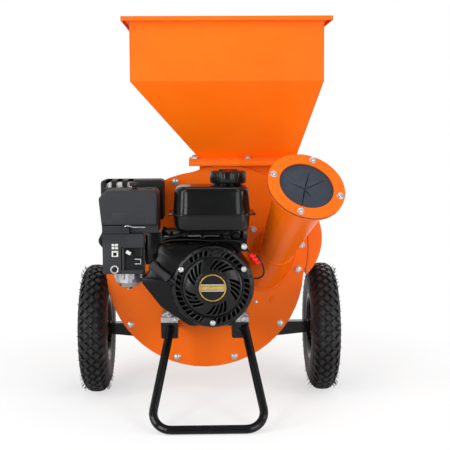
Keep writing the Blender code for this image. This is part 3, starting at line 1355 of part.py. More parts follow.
def filter_outline(inset):
    c = FILTER_CHAMFER
    left = FILTER_LEFT + inset
    right = FILTER_RIGHT - inset
    low = FILTER_LOW + inset
    high = FILTER_HIGH - inset
    return [(left, low), (right, low), (right, high - c * 0.4), (right - c * 0.4, high), (left + c, high),
            (left, high - c)]


def make_filter_cover():
    back = FILTER_REAR - GAP
    cover = flat("air_filter_cover", filter_outline(0.0), FILTER_FRONT, back, "black_plastic")
    soften(cover, 0.005)
    cut(cover, flat("filter_inside", filter_outline(0.006), FILTER_FRONT + 0.006, back + BITE))
    return cover


def make_filter_base():
    base = flat("air_filter_base", filter_outline(0.001), FILTER_REAR, FILTER_REAR + FILTER_BASE_T,
                "black_plastic")
    elbow = block("filter_elbow", (CARB_AT[0] - 0.022, CARB_AT[1] - 0.010, CARB_TOP + GAP),
                  (CARB_AT[0] + 0.022, FILTER_REAR + FILTER_BASE_T - 0.001, FILTER_LOW - 0.0006))
    rise = block("filter_rise", (CARB_AT[0] - 0.021, FILTER_REAR + 0.001, FILTER_LOW - 0.004),
                 (CARB_AT[0] + 0.021, FILTER_REAR + FILTER_BASE_T - 0.002, FILTER_LOW + 0.010))
    join(base, elbow)
    join(base, rise)
    return base


def make_knob():
    top = FILTER_HIGH + GAP
    profile = [(0, top), (KNOB_R * 0.6, top), (KNOB_R * 0.6, top + 0.005), (KNOB_R, top + 0.006),
               (KNOB_R, top + KNOB_H - 0.002), (KNOB_R - 0.002, top + KNOB_H), (0, top + KNOB_H)]
    return turned("filter_knob", profile, (KNOB_AT[0], KNOB_AT[1], 0), (0, 0, 1), "black_plastic", 20)


def make_carburettor():
    x, y = CARB_AT
    carb = block("carburettor", (x - 0.030, y - 0.026, BOWL_TOP - 0.001), (x + 0.030, y + 0.026, CARB_TOP),
                 "cast_aluminium", 0.004)
    profile = [(0, BOWL_TOP), (BOWL_R, BOWL_TOP), (BOWL_R, BOWL_LOW + 0.012), (BOWL_R - 0.012, BOWL_LOW),
               (0.006, BOWL_LOW), (0.006, BOWL_LOW - 0.008), (0, BOWL_LOW - 0.008)]
    join(carb, turned("float_bowl", profile, (x, y, 0), (0, 0, 1), None, 20))
    join(carb, rod("throat", (x, y + 0.020, CARB_TOP - 0.028), (x, CARB_BACK, CARB_TOP - 0.028), 0.020,
                   None, 20))
    return carb


CARB_BACK = CASE_FRONT / 2 - 0.050 - 0.010


def make_panel():
    back = PANEL_FRONT + PANEL_DEEP
    panel = block("control_panel", (PANEL_LEFT, PANEL_FRONT, PANEL_LOW), (PANEL_RIGHT, back, PANEL_HIGH),
                  "black_plastic", 0.005)
    cut(panel, block("panel_inside", (PANEL_LEFT + 0.003, PANEL_FRONT + 0.004, PANEL_LOW + 0.003),
                     (PANEL_RIGHT - 0.003, back + BITE, PANEL_HIGH - 0.003)))
    cut(panel, block("panel_recess", (LEVER_AT[0] - 0.030, PANEL_FRONT - BITE, PANEL_LOW + 0.010),
                     (PANEL_RIGHT + BITE, PANEL_FRONT + BITE * 1.5, PANEL_HIGH - 0.034)))
    join(panel, block("recess_back", (LEVER_AT[0] - 0.034, PANEL_FRONT + RECESS, PANEL_LOW + 0.001),
                      (PANEL_RIGHT - 0.001, PANEL_FRONT + RECESS + 0.003, PANEL_HIGH - 0.030)))
    cut(panel, holes("switch_hole", [(SWITCH_AT[0], PANEL_FRONT, SWITCH_AT[1])], (0, 1, 0), SWITCH_R + GAP,
                     0.02, 0.02, 16))
    cut(panel, holes("lever_holes", [(x, PANEL_FRONT, z) for x, z in (LEVER_AT, FUEL_LEVER_AT)], (0, 1, 0),
                     LEVER_BOSS_R + GAP, 0.02, 0.03, 16))
    return panel


LEVER_X = -0.198
LEVER_UP = 0.076
LEVER_AT = (LEVER_X, CRANK_H + LEVER_UP)
LEVER_BOSS = 0.030
LEVER_BOSS_R = 0.005
LEVER_PIN_R = 0.0022
LEVER_T = 0.004
BRACKET_T = 0.003
BRACKET_UP = 0.048
BRACKET_LOW = CRANK_H + BRACKET_UP
THROTTLE_FRONT = -0.2165
FUEL_LEVER_X = -0.190
FUEL_LEVER_UP = 0.050
FUEL_LEVER_AT = (FUEL_LEVER_X, CRANK_H + FUEL_LEVER_UP)
SWITCH_X = -0.243
SWITCH_UP = 0.040
SWITCH_AT = (SWITCH_X, CRANK_H + SWITCH_UP)
THROTTLE_X = -0.157
THROTTLE_UP = 0.111
THROTTLE_AT = (THROTTLE_X, CRANK_H + THROTTLE_UP)


def lever(name, at, y_face, length, wide, direction, kind, bored=False):
    """A flat lever on a pivot boss, turning about y at its boss."""
    x, z = at
    handle = rod(name, (x, y_face, z), (x, y_face + LEVER_BOSS, z), LEVER_BOSS_R, kind, 16)
    tip = Vector((math.cos(direction), 0, math.sin(direction)))
    side = Vector((-tip.z, 0, tip.x))
    base = Vector((x, y_face + 0.001, z))
    rings = []
    thick = Vector((0, LEVER_T, 0))
    for along, half in ((0.0, wide * 0.8), (length, wide)):
        mid = base + tip * along
        rings.append([mid - side * half, mid + side * half, mid + side * half + thick,
                      mid - side * half + thick])
    join(handle, ring_loft(name + "_arm", rings))
    if bored:
        cut(handle, rod(name + "_bore", (x, y_face - BITE, z), (x, y_face + LEVER_BOSS + BITE, z),
                        LEVER_PIN_R + GAP, None, 12))
    set_origin(handle, (x, y_face, z))
    return handle


def make_levers():
    face = PANEL_FRONT + 0.001
    lever("choke_lever", LEVER_AT, face, 0.016, 0.006, math.radians(150), "cast_aluminium")
    lever("fuel_lever", FUEL_LEVER_AT, face, 0.018, 0.008, math.radians(60), "cast_aluminium")
    lever("throttle_lever", THROTTLE_AT, THROTTLE_FRONT, 0.026, 0.008, math.radians(290), "black_plastic",
          bored=True)
    x, z = SWITCH_AT
    profile = [(0, PANEL_FRONT - 0.010), (0.009, PANEL_FRONT - 0.010), (0.011, PANEL_FRONT - 0.008),
               (0.011, PANEL_FRONT - GAP), (SWITCH_R, PANEL_FRONT - GAP), (SWITCH_R, PANEL_FRONT + 0.012),
               (0, PANEL_FRONT + 0.012)]
    turned("engine_switch", profile, (x, 0, z), (0, 1, 0), "black_plastic", 20)


def make_muffler():
    muffler = block("muffler", (MUFFLER_LEFT, MUFFLER_FRONT, MUFFLER_LOW),
                    (MUFFLER_RIGHT, MUFFLER_REAR, MUFFLER_HIGH), "steel", 0.014, 3)
    join(muffler, rod("exhaust_pipe", (*EXHAUST_AT, EXHAUST_LOW), (*EXHAUST_AT, MUFFLER_LOW + 0.004), 0.009,
                      None, 20))
    return muffler


def make_guard():
    """Sheet guard over the muffler with slots in its top and front."""
    a = GUARD_AIR
    t = GUARD_T
    guard = block("muffler_guard", (MUFFLER_LEFT - a - t, MUFFLER_FRONT - a - t, MUFFLER_LOW + 0.010),
                  (MUFFLER_RIGHT + a + t, MUFFLER_REAR + a + t, MUFFLER_HIGH + a + t), "black_paint",
                  0.008, 2)
    cut(guard, block("guard_inside", (MUFFLER_LEFT - a, MUFFLER_FRONT - a, MUFFLER_LOW - 0.010),
                     (MUFFLER_RIGHT + a, MUFFLER_REAR + a, MUFFLER_HIGH + a), None, 0.0075, 2))
    middle = (MUFFLER_LOW + MUFFLER_HIGH) / 2
    for k, x in enumerate((MUFFLER_LEFT + 0.030, MUFFLER_RIGHT - 0.030)):
        join(guard, block("guard_spacer_front_%d" % k,
                          (x - 0.006, MUFFLER_FRONT - a - t / 2, middle - 0.006),
                          (x + 0.006, MUFFLER_FRONT - GAP, middle + 0.006)))
        join(guard, block("guard_spacer_rear_%d" % k, (x - 0.006, MUFFLER_REAR + GAP, middle - 0.006),
                          (x + 0.006, MUFFLER_REAR + a + t / 2, middle + 0.006)))
    for k in range(GUARD_SLOTS):
        x = MUFFLER_LEFT + 0.006 + GUARD_SLOT_STEP * k
        cut(guard, block("guard_slot_%d" % k, (x, MUFFLER_FRONT - 0.020, MUFFLER_HIGH - 0.014),
                         (x + GUARD_SLOT_W, MUFFLER_REAR - 0.010, MUFFLER_HIGH + 0.030)))
    return guard


def make_small_engine_parts():
    dip_at = (CASE_HALF + GAP, -0.120, BASE_H + FOOT_T + 0.024)
    profile = [(0, 0.016), (0.012, 0.016), (0.014, 0.012), (0.014, 0.002), (0.009, 0), (0, 0)]
    turned("dipstick", profile, dip_at, (1, 0, 0), "black_plastic", 20)
    head = FIN_FIRST + FIN_PITCH * FINS + 0.016
    rod("spark_plug", cylinder_point(head - 0.011, CYL_Y, 0.034 + GAP),
        cylinder_point(head - 0.011, CYL_Y, 0.066), 0.009, "black_plastic", 16, 0.008)
    y = FILTER_FRONT + 0.050
    tube("breather_hose", hose_points(y), 0.006, "rubber", 2)
    rod_y = THROTTLE_ROD_Y
    governor = tube("governor_rod", [(THROTTLE_AT[0] + 0.012, rod_y, THROTTLE_AT[1] + 0.006),
                                     (-0.060, rod_y, THROTTLE_AT[1] + 0.008),
                                     (0.018, rod_y, THROTTLE_AT[1] + 0.006)], 0.0015, "zinc", 1)
    join(governor, block("governor_arm", (-0.030, rod_y - 0.003, CRANK_H + SHROUD_R + GAP),
                         (-0.018, rod_y + 0.003, THROTTLE_AT[1] + 0.010)))


THROTTLE_ROD_Y = -0.205


def hose_points(y):
    """Short curved hose from under the filter to the valve cover."""
    start = Vector((FILTER_LEFT + 0.012, y, FILTER_LOW - GAP))
    end = Vector((PANEL_LEFT + 0.004, y + 0.020, CASE_TOP))
    made = []
    for k in range(9):
        s = k / 8
        ease = s * s * (3 - 2 * s)
        bulge = math.sin(math.pi * s) ** 2 * 0.012
        made.append(Vector((start.x + (end.x - start.x) * ease - bulge, start.y + (end.y - start.y) * ease,
                            start.z + (end.z - start.z) * s)))
    made[1].x = made[0].x
    made[1].y = made[0].y
    return made


make_front_plate()
make_drum_shell()
make_rear_plate()
make_hopper()
make_chute()
make_chute_ring()
make_chute_flap()
make_crankshaft()
make_rotor()
make_blades()
for hammer_number in range(1, HAMMERS + 1):
    make_hammer(hammer_number)
make_bed_knife()
make_hood()
make_screen()
make_deflector()
make_hinge()
for wheel_side in ("left", "right"):
    make_tyre(wheel_side)
    make_rim(wheel_side)
    make_bushes(wheel_side)
    make_arm(wheel_side)
    make_retainer(wheel_side)
make_rail("left_engine_rail", FEET_LEFT)
make_rail("right_engine_rail", FEET_RIGHT)
make_stand()
make_crankcase()
make_cylinder()
make_valve_cover()
make_shroud()
make_flywheel()
make_recoil_cover()
make_badge()
make_grip()
make_tank()
make_cap()
make_filter_cover()
make_filter_base()
make_knob()
make_carburettor()
make_panel()
make_levers()
make_muffler()
make_guard()
make_small_engine_parts()

machine = bpy.data.objects.new("machine_origin", None)
parts.objects.link(machine)
for obj in list(parts.objects) + list(cutters.objects):
    if obj is not machine:
        obj.parent = machine
machine.location = (CRANK_OFFSET, (STAND_REACH - HOPPER_REACH) / 2, 0)
bpy.context.view_layer.update()
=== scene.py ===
"""Looks of the petrol chipper shredder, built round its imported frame.

Metres, +Z up. spot() turns the machine's own measures into the shared frame: x is measured from
the crank axis, y back from the face of the drum's front plate and z from the ground. Places, boxes
and outlines below are in those measures.
"""
import json
import math
import random

import bmesh
import bpy
from mathutils import Matrix, Vector

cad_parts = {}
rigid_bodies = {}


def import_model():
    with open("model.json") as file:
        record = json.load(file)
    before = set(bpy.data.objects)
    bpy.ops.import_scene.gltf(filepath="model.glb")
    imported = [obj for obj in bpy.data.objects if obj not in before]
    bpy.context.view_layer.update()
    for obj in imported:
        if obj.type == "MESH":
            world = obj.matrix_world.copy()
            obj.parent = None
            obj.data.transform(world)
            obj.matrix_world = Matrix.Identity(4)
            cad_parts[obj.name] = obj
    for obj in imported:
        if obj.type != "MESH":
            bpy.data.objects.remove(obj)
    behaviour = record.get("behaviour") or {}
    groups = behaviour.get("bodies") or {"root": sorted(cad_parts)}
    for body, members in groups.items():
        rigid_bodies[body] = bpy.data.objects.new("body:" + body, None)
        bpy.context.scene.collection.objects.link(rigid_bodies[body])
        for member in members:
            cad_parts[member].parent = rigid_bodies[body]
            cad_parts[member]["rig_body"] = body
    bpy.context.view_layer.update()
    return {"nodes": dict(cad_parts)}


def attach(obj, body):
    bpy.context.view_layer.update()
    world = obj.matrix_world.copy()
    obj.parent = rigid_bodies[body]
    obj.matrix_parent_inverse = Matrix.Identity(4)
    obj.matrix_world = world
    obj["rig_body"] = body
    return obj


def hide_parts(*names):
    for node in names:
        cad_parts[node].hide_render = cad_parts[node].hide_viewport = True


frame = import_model()
NODES = frame["nodes"]
BODY = {name: node["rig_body"] for name, node in NODES.items()}
MACHINE = Vector((0.007, 0.031, 0.0))   # where those measures start in the shared frame
MAIN = BODY["front_plate"]
ENGINE = BODY["recoil_cover"]
UP, DOWN = (0, 0, 1), (0, 0, -1)
FORWARD, BACKWARD = (0, -1, 0), (0, 1, 0)


def spot(x, y, z):
    return MACHINE + Vector((x, y, z))


# Camera at the photograph's angle

IMAGE_SIDE = 450
FOCAL_PIXELS = 971
SENSOR = 36.0
CAMERA_REACH = 60.0
CAMERA_AT = Vector((-0.010, -2.613, 0.748))
YAW = math.radians(1.18)
PITCH = math.radians(5.88)
ROLL = math.radians(0.34)


def make_camera():
    ahead = Vector((math.sin(YAW) * math.cos(PITCH), math.cos(YAW) * math.cos(PITCH), -math.sin(PITCH)))
    right = Vector((math.cos(YAW), -math.sin(YAW), 0.0))
    up = right.cross(ahead)
    tilted_right = right * math.cos(ROLL) - up * math.sin(ROLL)
    tilted_up = up * math.cos(ROLL) + right * math.sin(ROLL)
    data = bpy.data.cameras.new("camera")
    data.sensor_width = SENSOR
    data.lens = FOCAL_PIXELS / IMAGE_SIDE * SENSOR
    data.clip_end = CAMERA_REACH
    camera = bpy.data.objects.new("camera", data)
    bpy.context.scene.collection.objects.link(camera)
    matrix = Matrix((tilted_right, tilted_up, -ahead)).transposed().to_4x4()
    matrix.translation = CAMERA_AT
    camera.matrix_world = matrix
    bpy.context.scene.camera = camera


# Shader sums


class Signal:
    """A shader socket that takes part in Python sums."""

    def __init__(self, finish, socket):
        self.finish = finish
        self.socket = socket

    def reckon(self, operation, *terms):
        inputs = dict(enumerate(terms))
        return self.finish.node("ShaderNodeMath", {"operation": operation}, inputs)[0]

    def __add__(self, other):
        return self.reckon("ADD", self, other)

    def __radd__(self, other):
        return self.reckon("ADD", other, self)

    def __sub__(self, other):
        return self.reckon("SUBTRACT", self, other)

    def __rsub__(self, other):
        return self.reckon("SUBTRACT", other, self)

    def __mul__(self, other):
        return self.reckon("MULTIPLY", self, other)

    def __rmul__(self, other):
        return self.reckon("MULTIPLY", other, self)

    def __truediv__(self, other):
        return self.reckon("DIVIDE", self, other)

    def __gt__(self, other):
        return self.reckon("GREATER_THAN", self, other)

    def __lt__(self, other):
        return self.reckon("LESS_THAN", self, other)

    def __pow__(self, other):
        return self.reckon("POWER", self, other)

    def within(self, low, high):
        """0 below low, 1 above high and a straight rise between."""
        settings = {"clamp": True}
        inputs = {0: self, 1: low, 2: high, 3: 0.0, 4: 1.0}
        return self.finish.node("ShaderNodeMapRange", settings, inputs)[0]


class Outputs:
    """A node's outputs, by name or number."""

    def __init__(self, finish, made):
        self.finish = finish
        self.made = made

    def __getitem__(self, key):
        return Signal(self.finish, self.made.outputs[key])


class Finish:
    """One material or world, whose nodes come from node()."""

    def __init__(self, name, kept_in=bpy.data.materials):
        self.material = kept_in.new(name)
        self.material.use_nodes = True
        self.tree = self.material.node_tree
        self.tree.nodes.clear()

    def node(self, kind, settings=None, inputs=None):
        made = self.tree.nodes.new(kind)
        for key, value in (settings or {}).items():
            if key == "stops":
                self.set_stops(made.color_ramp, value)
            else:
                setattr(made, key, value)
        for key, value in (inputs or {}).items():
            if isinstance(value, Signal):
                self.tree.links.new(value.socket, made.inputs[key])
            else:
                made.inputs[key].default_value = value
        return Outputs(self, made)

    def set_stops(self, ramp, stops):
        while len(ramp.elements) < len(stops):
            ramp.elements.new(0.5)
        for element, (place, colour) in zip(ramp.elements, stops):
            element.position = place
            element.color = colour

    def where(self):
        return self.node("ShaderNodeTexCoord")["Object"]

    def noise(self, scale, detail=3.0, rough=0.5, stretch=None):
        where = self.where()
        if stretch:
            where = self.node("ShaderNodeMapping", {}, {"Vector": where, "Scale": stretch})[0]
        inputs = {"Vector": where, "Scale": scale, "Detail": detail, "Roughness": rough}
        return self.node("ShaderNodeTexNoise", {}, inputs)["Fac"]

    def axis(self, letter):
        return self.node("ShaderNodeSeparateXYZ", {}, {0: self.where()})[letter]

    def blend(self, share, first, second):
        settings = {"data_type": "RGBA"}
        return self.node("ShaderNodeMix", settings, {0: share, 6: first, 7: second})[2]

    def rounded(self, radius):
        """Normals that turn softly over the sharp edges of folded and moulded sheet."""
        return self.node("ShaderNodeBevel", {"samples": 4}, {"Radius": radius})[0]

    def edges(self, rounded):
        """1 along sharp edges and 0 on open faces."""
        face = self.node("ShaderNodeNewGeometry")["Normal"]
        settings = {"operation": "DOT_PRODUCT"}
        same = self.node("ShaderNodeVectorMath", settings, {0: rounded, 1: face})["Value"]
        return (1.0 - same).within(0.01, 0.22)

    def bumped(self, height, distance, strength=1.0, under=None):
        inputs = {"Height": height, "Distance": distance, "Strength": strength}
        if under is not None:
            inputs["Normal"] = under
        return self.node("ShaderNodeBump", {}, inputs)[0]

    def surface(self, **sockets):
        names = {key.replace("_", " "): value for key, value in sockets.items()}
        shader = self.node("ShaderNodeBsdfPrincipled", {}, names)
        self.node("ShaderNodeOutputMaterial", {}, {"Surface": shader[0]})
        return self.material


def rgb(red, green, blue):
    """A colour as it is seen, 0 to 255, turned into the shader's scale."""
    made = []
    for value in (red, green, blue):
        share = value / 255
        made.append(share / 12.92 if share <= 0.04045 else ((share + 0.055) / 1.055) ** 2.4)
    return (*made, 1.0)


# Finishes

PATCHY = (0.3, 0.7)         # the middle of a noise, spread over its whole range


def powder_coat(name, colour, deep, worn, rough, peel, shine=0.3, edge=0.0011):
    """Sprayed and baked paint: fine orange peel, soft shade changes, thinner on sharp edges."""
    finish = Finish(name)
    broad = finish.noise(5.0, 4.0, 0.55).within(*PATCHY)
    fine = finish.noise(900.0, 2.0, 0.6)
    specks = finish.noise(240.0, 3.0, 0.7).within(0.70, 0.78)
    rounded = finish.rounded(edge)
    edges = finish.edges(rounded) * finish.noise(60.0, 3.0, 0.6).within(0.42, 0.66)
    tone = finish.blend(broad, deep, colour)
    tone = finish.blend(specks * 0.10, tone, deep)
    tone = finish.blend(edges * 0.35, tone, worn)
    gloss = rough + 0.10 * finish.noise(34.0, 3.0, 0.6) + 0.10 * edges
    normal = finish.bumped(fine, peel, 0.35, rounded)
    return finish.surface(Base_Color=tone, Roughness=gloss, Normal=normal, Specular_IOR_Level=shine)


def moulded_plastic(name, colour, pale, rough, grain, depth, shine=0.3, edge=0.0012):
    """Injection-moulded nylon or polypropylene with a spark-eroded grain."""
    finish = Finish(name)
    rounded = finish.rounded(edge)
    texture = finish.noise(grain, 2.0, 0.55)
    cloudy = finish.noise(9.0, 4.0, 0.6).within(0.3, 0.75)
    rubbed = finish.edges(rounded) * finish.noise(80.0, 3.0, 0.6).within(0.35, 0.7)
    tone = finish.blend(cloudy * 0.5 + rubbed * 0.35, colour, pale)
    gloss = rough + 0.12 * finish.noise(48.0, 3.0, 0.6) - 0.08 * rubbed
    normal = finish.bumped(texture, depth, 0.5, rounded)
    return finish.surface(Base_Color=tone, Roughness=gloss, Normal=normal, Specular_IOR_Level=shine)


METAL_PATCHES = (120.0, 4.0, 0.65)


def plated(name, colour, dark, rough, metallic=1.0, pits=0.00004, scale=700.0, edge=0.0006):
    """Bare or plated metal with a slightly patchy skin."""
    finish = Finish(name)
    patches = finish.noise(*METAL_PATCHES).within(0.3, 0.75)
    tone = finish.blend(patches, dark, colour)
    gloss = rough + 0.16 * finish.noise(300.0, 2.0, 0.6)
    normal = finish.bumped(finish.noise(scale, 2.0, 0.6), pits, 0.6, finish.rounded(edge))
    return finish.surface(Base_Color=tone, Roughness=gloss, Metallic=metallic, Normal=normal)


def part_painted(name, colour, dark, paint, height):
    """A bare casting below a height over the object's origin, and black paint above it."""
    finish = Finish(name)
    painted = finish.axis("Z").within(height - 0.001, height + 0.001)
    patches = finish.noise(*METAL_PATCHES).within(0.3, 0.75)
    tone = finish.blend(painted, finish.blend(patches, dark, colour), paint)
    gloss = 0.38 - 0.12 * painted + 0.14 * finish.noise(300.0, 2.0, 0.6)
    normal = finish.bumped(finish.noise(420.0, 2.0, 0.6), 0.00012, 0.6, finish.rounded(0.0008))
    return finish.surface(Base_Color=tone, Roughness=gloss, Metallic=0.85 - 0.85 * painted, Normal=normal,
                          Specular_IOR_Level=0.3)


def brushed_steel(name, colour, dark, rough, stretch):
    """Ground or turned steel with its tool marks along one way."""
    finish = Finish(name)
    marks = finish.noise(90.0, 4.0, 0.7, stretch)
    tone = finish.blend(marks.within(*PATCHY), dark, colour)
    gloss = rough + 0.22 * marks
    normal = finish.bumped(marks, 0.00003, 0.6, finish.rounded(0.0006))
    return finish.surface(Base_Color=tone, Roughness=gloss, Metallic=1.0, Normal=normal)


def rubber(name, colour, dusty, rough, grain, depth):
    finish = Finish(name)
    texture = finish.noise(grain, 3.0, 0.65)
    dust = finish.noise(26.0, 5.0, 0.65).within(0.45, 0.75)
    tone = finish.blend(dust * 0.55, colour, dusty)
    gloss = rough + 0.14 * finish.noise(120.0, 2.0, 0.5)
    normal = finish.bumped(texture, depth, 0.6)
    return finish.surface(Base_Color=tone, Roughness=gloss, Normal=normal, Specular_IOR_Level=0.3)


def twisted_rope(name, colour, pale):
    """Laid nylon starter rope: slanting strands along it."""
    finish = Finish(name)
    settings = {"wave_type": "BANDS", "bands_direction": "DIAGONAL"}
    strands = finish.node("ShaderNodeTexWave", settings, {"Vector": finish.where(), "Scale": 260.0})["Fac"]
    tone = finish.blend(strands, colour, pale)
    return finish.surface(Base_Color=tone, Roughness=0.8, Normal=finish.bumped(strands, 0.0004, 0.8))


ORANGE = (rgb(244, 110, 8), rgb(238, 100, 4), rgb(250, 150, 70))
ALLOY = (rgb(206, 207, 210), rgb(158, 160, 164))
COATED_BLACK = rgb(15, 15, 17)
PAINT_FROM = 0.405          # the crankcase is black above this height

FINISH = {
    "orange": powder_coat("orange_powder_coat", *ORANGE, 0.34, 0.00010, 0.18),
    "tube": powder_coat("chute_powder_coat", *ORANGE, 0.20, 0.00008, 0.45),
    "black_coat": powder_coat("black_powder_coat", COATED_BLACK, rgb(11, 11, 13), rgb(76, 76, 80), 0.13,
        0.00010, 0.30),
    "matt": powder_coat("matt_black_coat", rgb(26, 26, 28), rgb(20, 20, 22), rgb(70, 70, 74), 0.46, 0.00012,
        0.25),
    "shroud": moulded_plastic("satin_black_plastic", rgb(4, 4, 5), rgb(9, 10, 11), 0.15, 1300.0, 0.00006,
        0.24),
    "cover": moulded_plastic("cover_black_plastic", rgb(7, 8, 9), rgb(13, 14, 15), 0.18, 1300.0, 0.00006,
        0.34, 0.0007),
    # near-black, nearly unlit finish: painted shade behind the cover's slots and a painted shadow line at
    # the lobe's edge
    "pit": moulded_plastic("painted_shade_black", rgb(3, 3, 3), rgb(5, 5, 5), 0.70, 900.0, 0.00006, 0.05),
    "grained": moulded_plastic("grained_black_plastic", rgb(43, 44, 47), rgb(56, 57, 61), 0.50, 900.0,
        0.00014, 0.22),
    "tank": moulded_plastic("gloss_black_plastic", rgb(7, 8, 9), rgb(12, 13, 15), 0.15, 1800.0, 0.00003,
        0.30),
    "tyre": rubber("tyre_rubber", rgb(30, 30, 32), rgb(54, 53, 52), 0.46, 700.0, 0.00018),
    "flap": rubber("flap_rubber", rgb(42, 49, 61), rgb(61, 69, 83), 0.46, 500.0, 0.00012),
    "hose": rubber("hose_rubber", rgb(15, 15, 17), rgb(34, 34, 36), 0.38, 900.0, 0.00008),
    "zinc": plated("zinc_plate", rgb(228, 228, 225), rgb(160, 161, 162), 0.18, 0.6),
    "silver": plated("die_cast_alloy", *ALLOY, 0.38, 0.85, 0.00012, 420.0),
    "casting": part_painted("part_painted_casting", *ALLOY, COATED_BLACK, PAINT_FROM),
    "iron": plated("cast_iron", rgb(112, 110, 108), rgb(78, 77, 76), 0.52, 0.8, 0.00025, 260.0),
    "bronze": plated("sintered_bronze", rgb(188, 140, 84), rgb(140, 100, 58), 0.40, 1.0),
    "steel": brushed_steel("ground_steel", rgb(176, 177, 180), rgb(120, 121, 125), 0.26, (1.0, 9.0, 1.0)),
    "rotor": brushed_steel("turned_steel", rgb(150, 150, 153), rgb(98, 98, 101), 0.34, (1.0, 6.0, 1.0)),
    "aluminised": plated("aluminised_sheet", rgb(232, 232, 230), rgb(196, 195, 192), 0.34, 0.7, 0.00010,
        300.0),
    "gold": plated("gold_trim", rgb(232, 196, 104), rgb(206, 166, 76), 0.20, 1.0),
    "bright": plated("bright_trim", rgb(230, 232, 234), rgb(206, 208, 212), 0.22, 1.0),
    "enamel": moulded_plastic("badge_enamel", rgb(9, 9, 11), rgb(14, 14, 16), 0.16, 1500.0, 0.00002, 0.3,
        0.0004),
    "red": moulded_plastic("red_connector", rgb(222, 10, 16), rgb(236, 36, 36), 0.28, 1200.0, 0.00006),
    "pale": moulded_plastic("pale_plastic", rgb(200, 200, 196), rgb(222, 222, 218), 0.42, 1000.0, 0.00008),
    "rope": twisted_rope("starter_rope", rgb(40, 40, 42), rgb(96, 96, 98)),
}

NODE_FINISH = {
    "orange": ["front_plate", "drum_shell", "rear_plate", "hopper", "chute_ring", "discharge_hood",
        "discharge_deflector"],
    "black_coat": ["stand", "left_engine_rail", "right_engine_rail", "left_axle_arm", "right_axle_arm",
        "valve_cover"],
    "matt": ["muffler_guard"],
    "shroud": ["dipstick", "spark_plug"],
    "grained": ["air_filter_base", "control_panel", "throttle_lever"],
    "zinc": ["deflector_hinge", "left_washer", "right_washer"],
    "casting": ["crankcase"],
    "silver": ["cylinder", "carburettor"],
    "enamel": ["choke_lever", "fuel_lever"],
    "iron": ["flywheel"],
    "bronze": ["left_bearing", "right_bearing"],
    "steel": ["crankshaft", "bed_knife", "chipper_blade_1", "chipper_blade_2", "discharge_screen"],
    "rotor": ["rotor", "hammer_1", "hammer_2", "hammer_3", "hammer_4"],
    "aluminised": ["muffler"],
}


def dress_nodes():
    """Each solid that stays in view takes its finish."""
    for finish, names in NODE_FINISH.items():
        for name in names:
            slots = NODES[name].data.materials
            slots.clear()
            slots.append(FINISH[finish])


# Stage and lamps

WHITE = (1, 1, 1, 1)
FLOOR_R = 14.0
FLOOR_DROP = 0.0005         # under the tyres, so that no faces meet
FLOOR_GLOW = 0.55           # share of plain white close to the machine
FLOOR_WHITE = (0.42, 1.1)   # and where it grows to all white
WORLD_LIGHT = 0.40
WORLD_SHINE = 0.22          # what glossy paint mirrors from the front


def floor_finish():
    finish = Finish("pale_floor")
    seen = finish.node("ShaderNodeLightPath")["Is Camera Ray"]
    reach = finish.node("ShaderNodeVectorMath", {"operation": "LENGTH"}, {0: finish.where()})["Value"]
    speckle = finish.noise(40.0, 3.0, 0.6)
    tone = finish.blend(speckle, (0.86, 0.86, 0.86, 1.0), (0.90, 0.90, 0.90, 1.0))
    diffuse = finish.node("ShaderNodeBsdfDiffuse", {}, {"Color": tone, "Roughness": 0.6})[0]
    glow = finish.node("ShaderNodeEmission", {}, {"Color": WHITE, "Strength": 1.0})[0]
    share = seen * (FLOOR_GLOW + (1 - FLOOR_GLOW) * reach.within(*FLOOR_WHITE))
    mixed = finish.node("ShaderNodeMixShader", {}, {0: share, 1: diffuse, 2: glow})[0]
    finish.node("ShaderNodeOutputMaterial", {}, {"Surface": mixed})
    return finish.material


def make_floor():
    """Pale floor, plain white where only the camera looks."""
    bm = bmesh.new()
    bmesh.ops.create_circle(bm, cap_ends=True, segments=64, radius=FLOOR_R)
    mesh = bpy.data.meshes.new("floor")
    bm.to_mesh(mesh)
    bm.free()
    mesh.materials.append(floor_finish())
    floor = bpy.data.objects.new("floor", mesh)
    floor.location = (0, 0, -FLOOR_DROP)
    bpy.context.scene.collection.objects.link(floor)


def make_surround():
    """White to the camera, soft light for the machine and darker in its reflections."""
    world = Finish("studio", bpy.data.worlds)
    bpy.context.scene.world = world.material
    path = world.node("ShaderNodeLightPath")
    white, soft, dark = (world.node("ShaderNodeBackground", {}, {"Color": WHITE, "Strength": strength})[0]
                         for strength in (1.0, WORLD_LIGHT, WORLD_SHINE))
    way = world.node("ShaderNodeSeparateXYZ", {}, {0: world.node("ShaderNodeTexCoord")["Generated"]})
    behind = world.node("ShaderNodeMixShader", {}, {0: way["Y"].within(-0.35, 0.45), 1: dark, 2: white})[0]
    lit = world.node("ShaderNodeMixShader", {}, {0: path["Is Glossy Ray"], 1: soft, 2: behind})[0]
    plain = path["Is Camera Ray"] + path["Is Transmission Ray"]
    seen = world.node("ShaderNodeMixShader", {}, {0: plain, 1: lit, 2: white})[0]
    world.node("ShaderNodeOutputWorld", {}, {"Surface": seen})


def soft_box(name, at, toward, size, watts):
    data = bpy.data.lights.new(name, "AREA")
    data.shape = "RECTANGLE"
    data.size = size[0]
    data.size_y = size[1]
    data.energy = watts
    lamp = bpy.data.objects.new(name, data)
    bpy.context.scene.collection.objects.link(lamp)
    lamp.location = at
    lamp.rotation_euler = (Vector(toward) - Vector(at)).to_track_quat("-Z", "Y").to_euler()


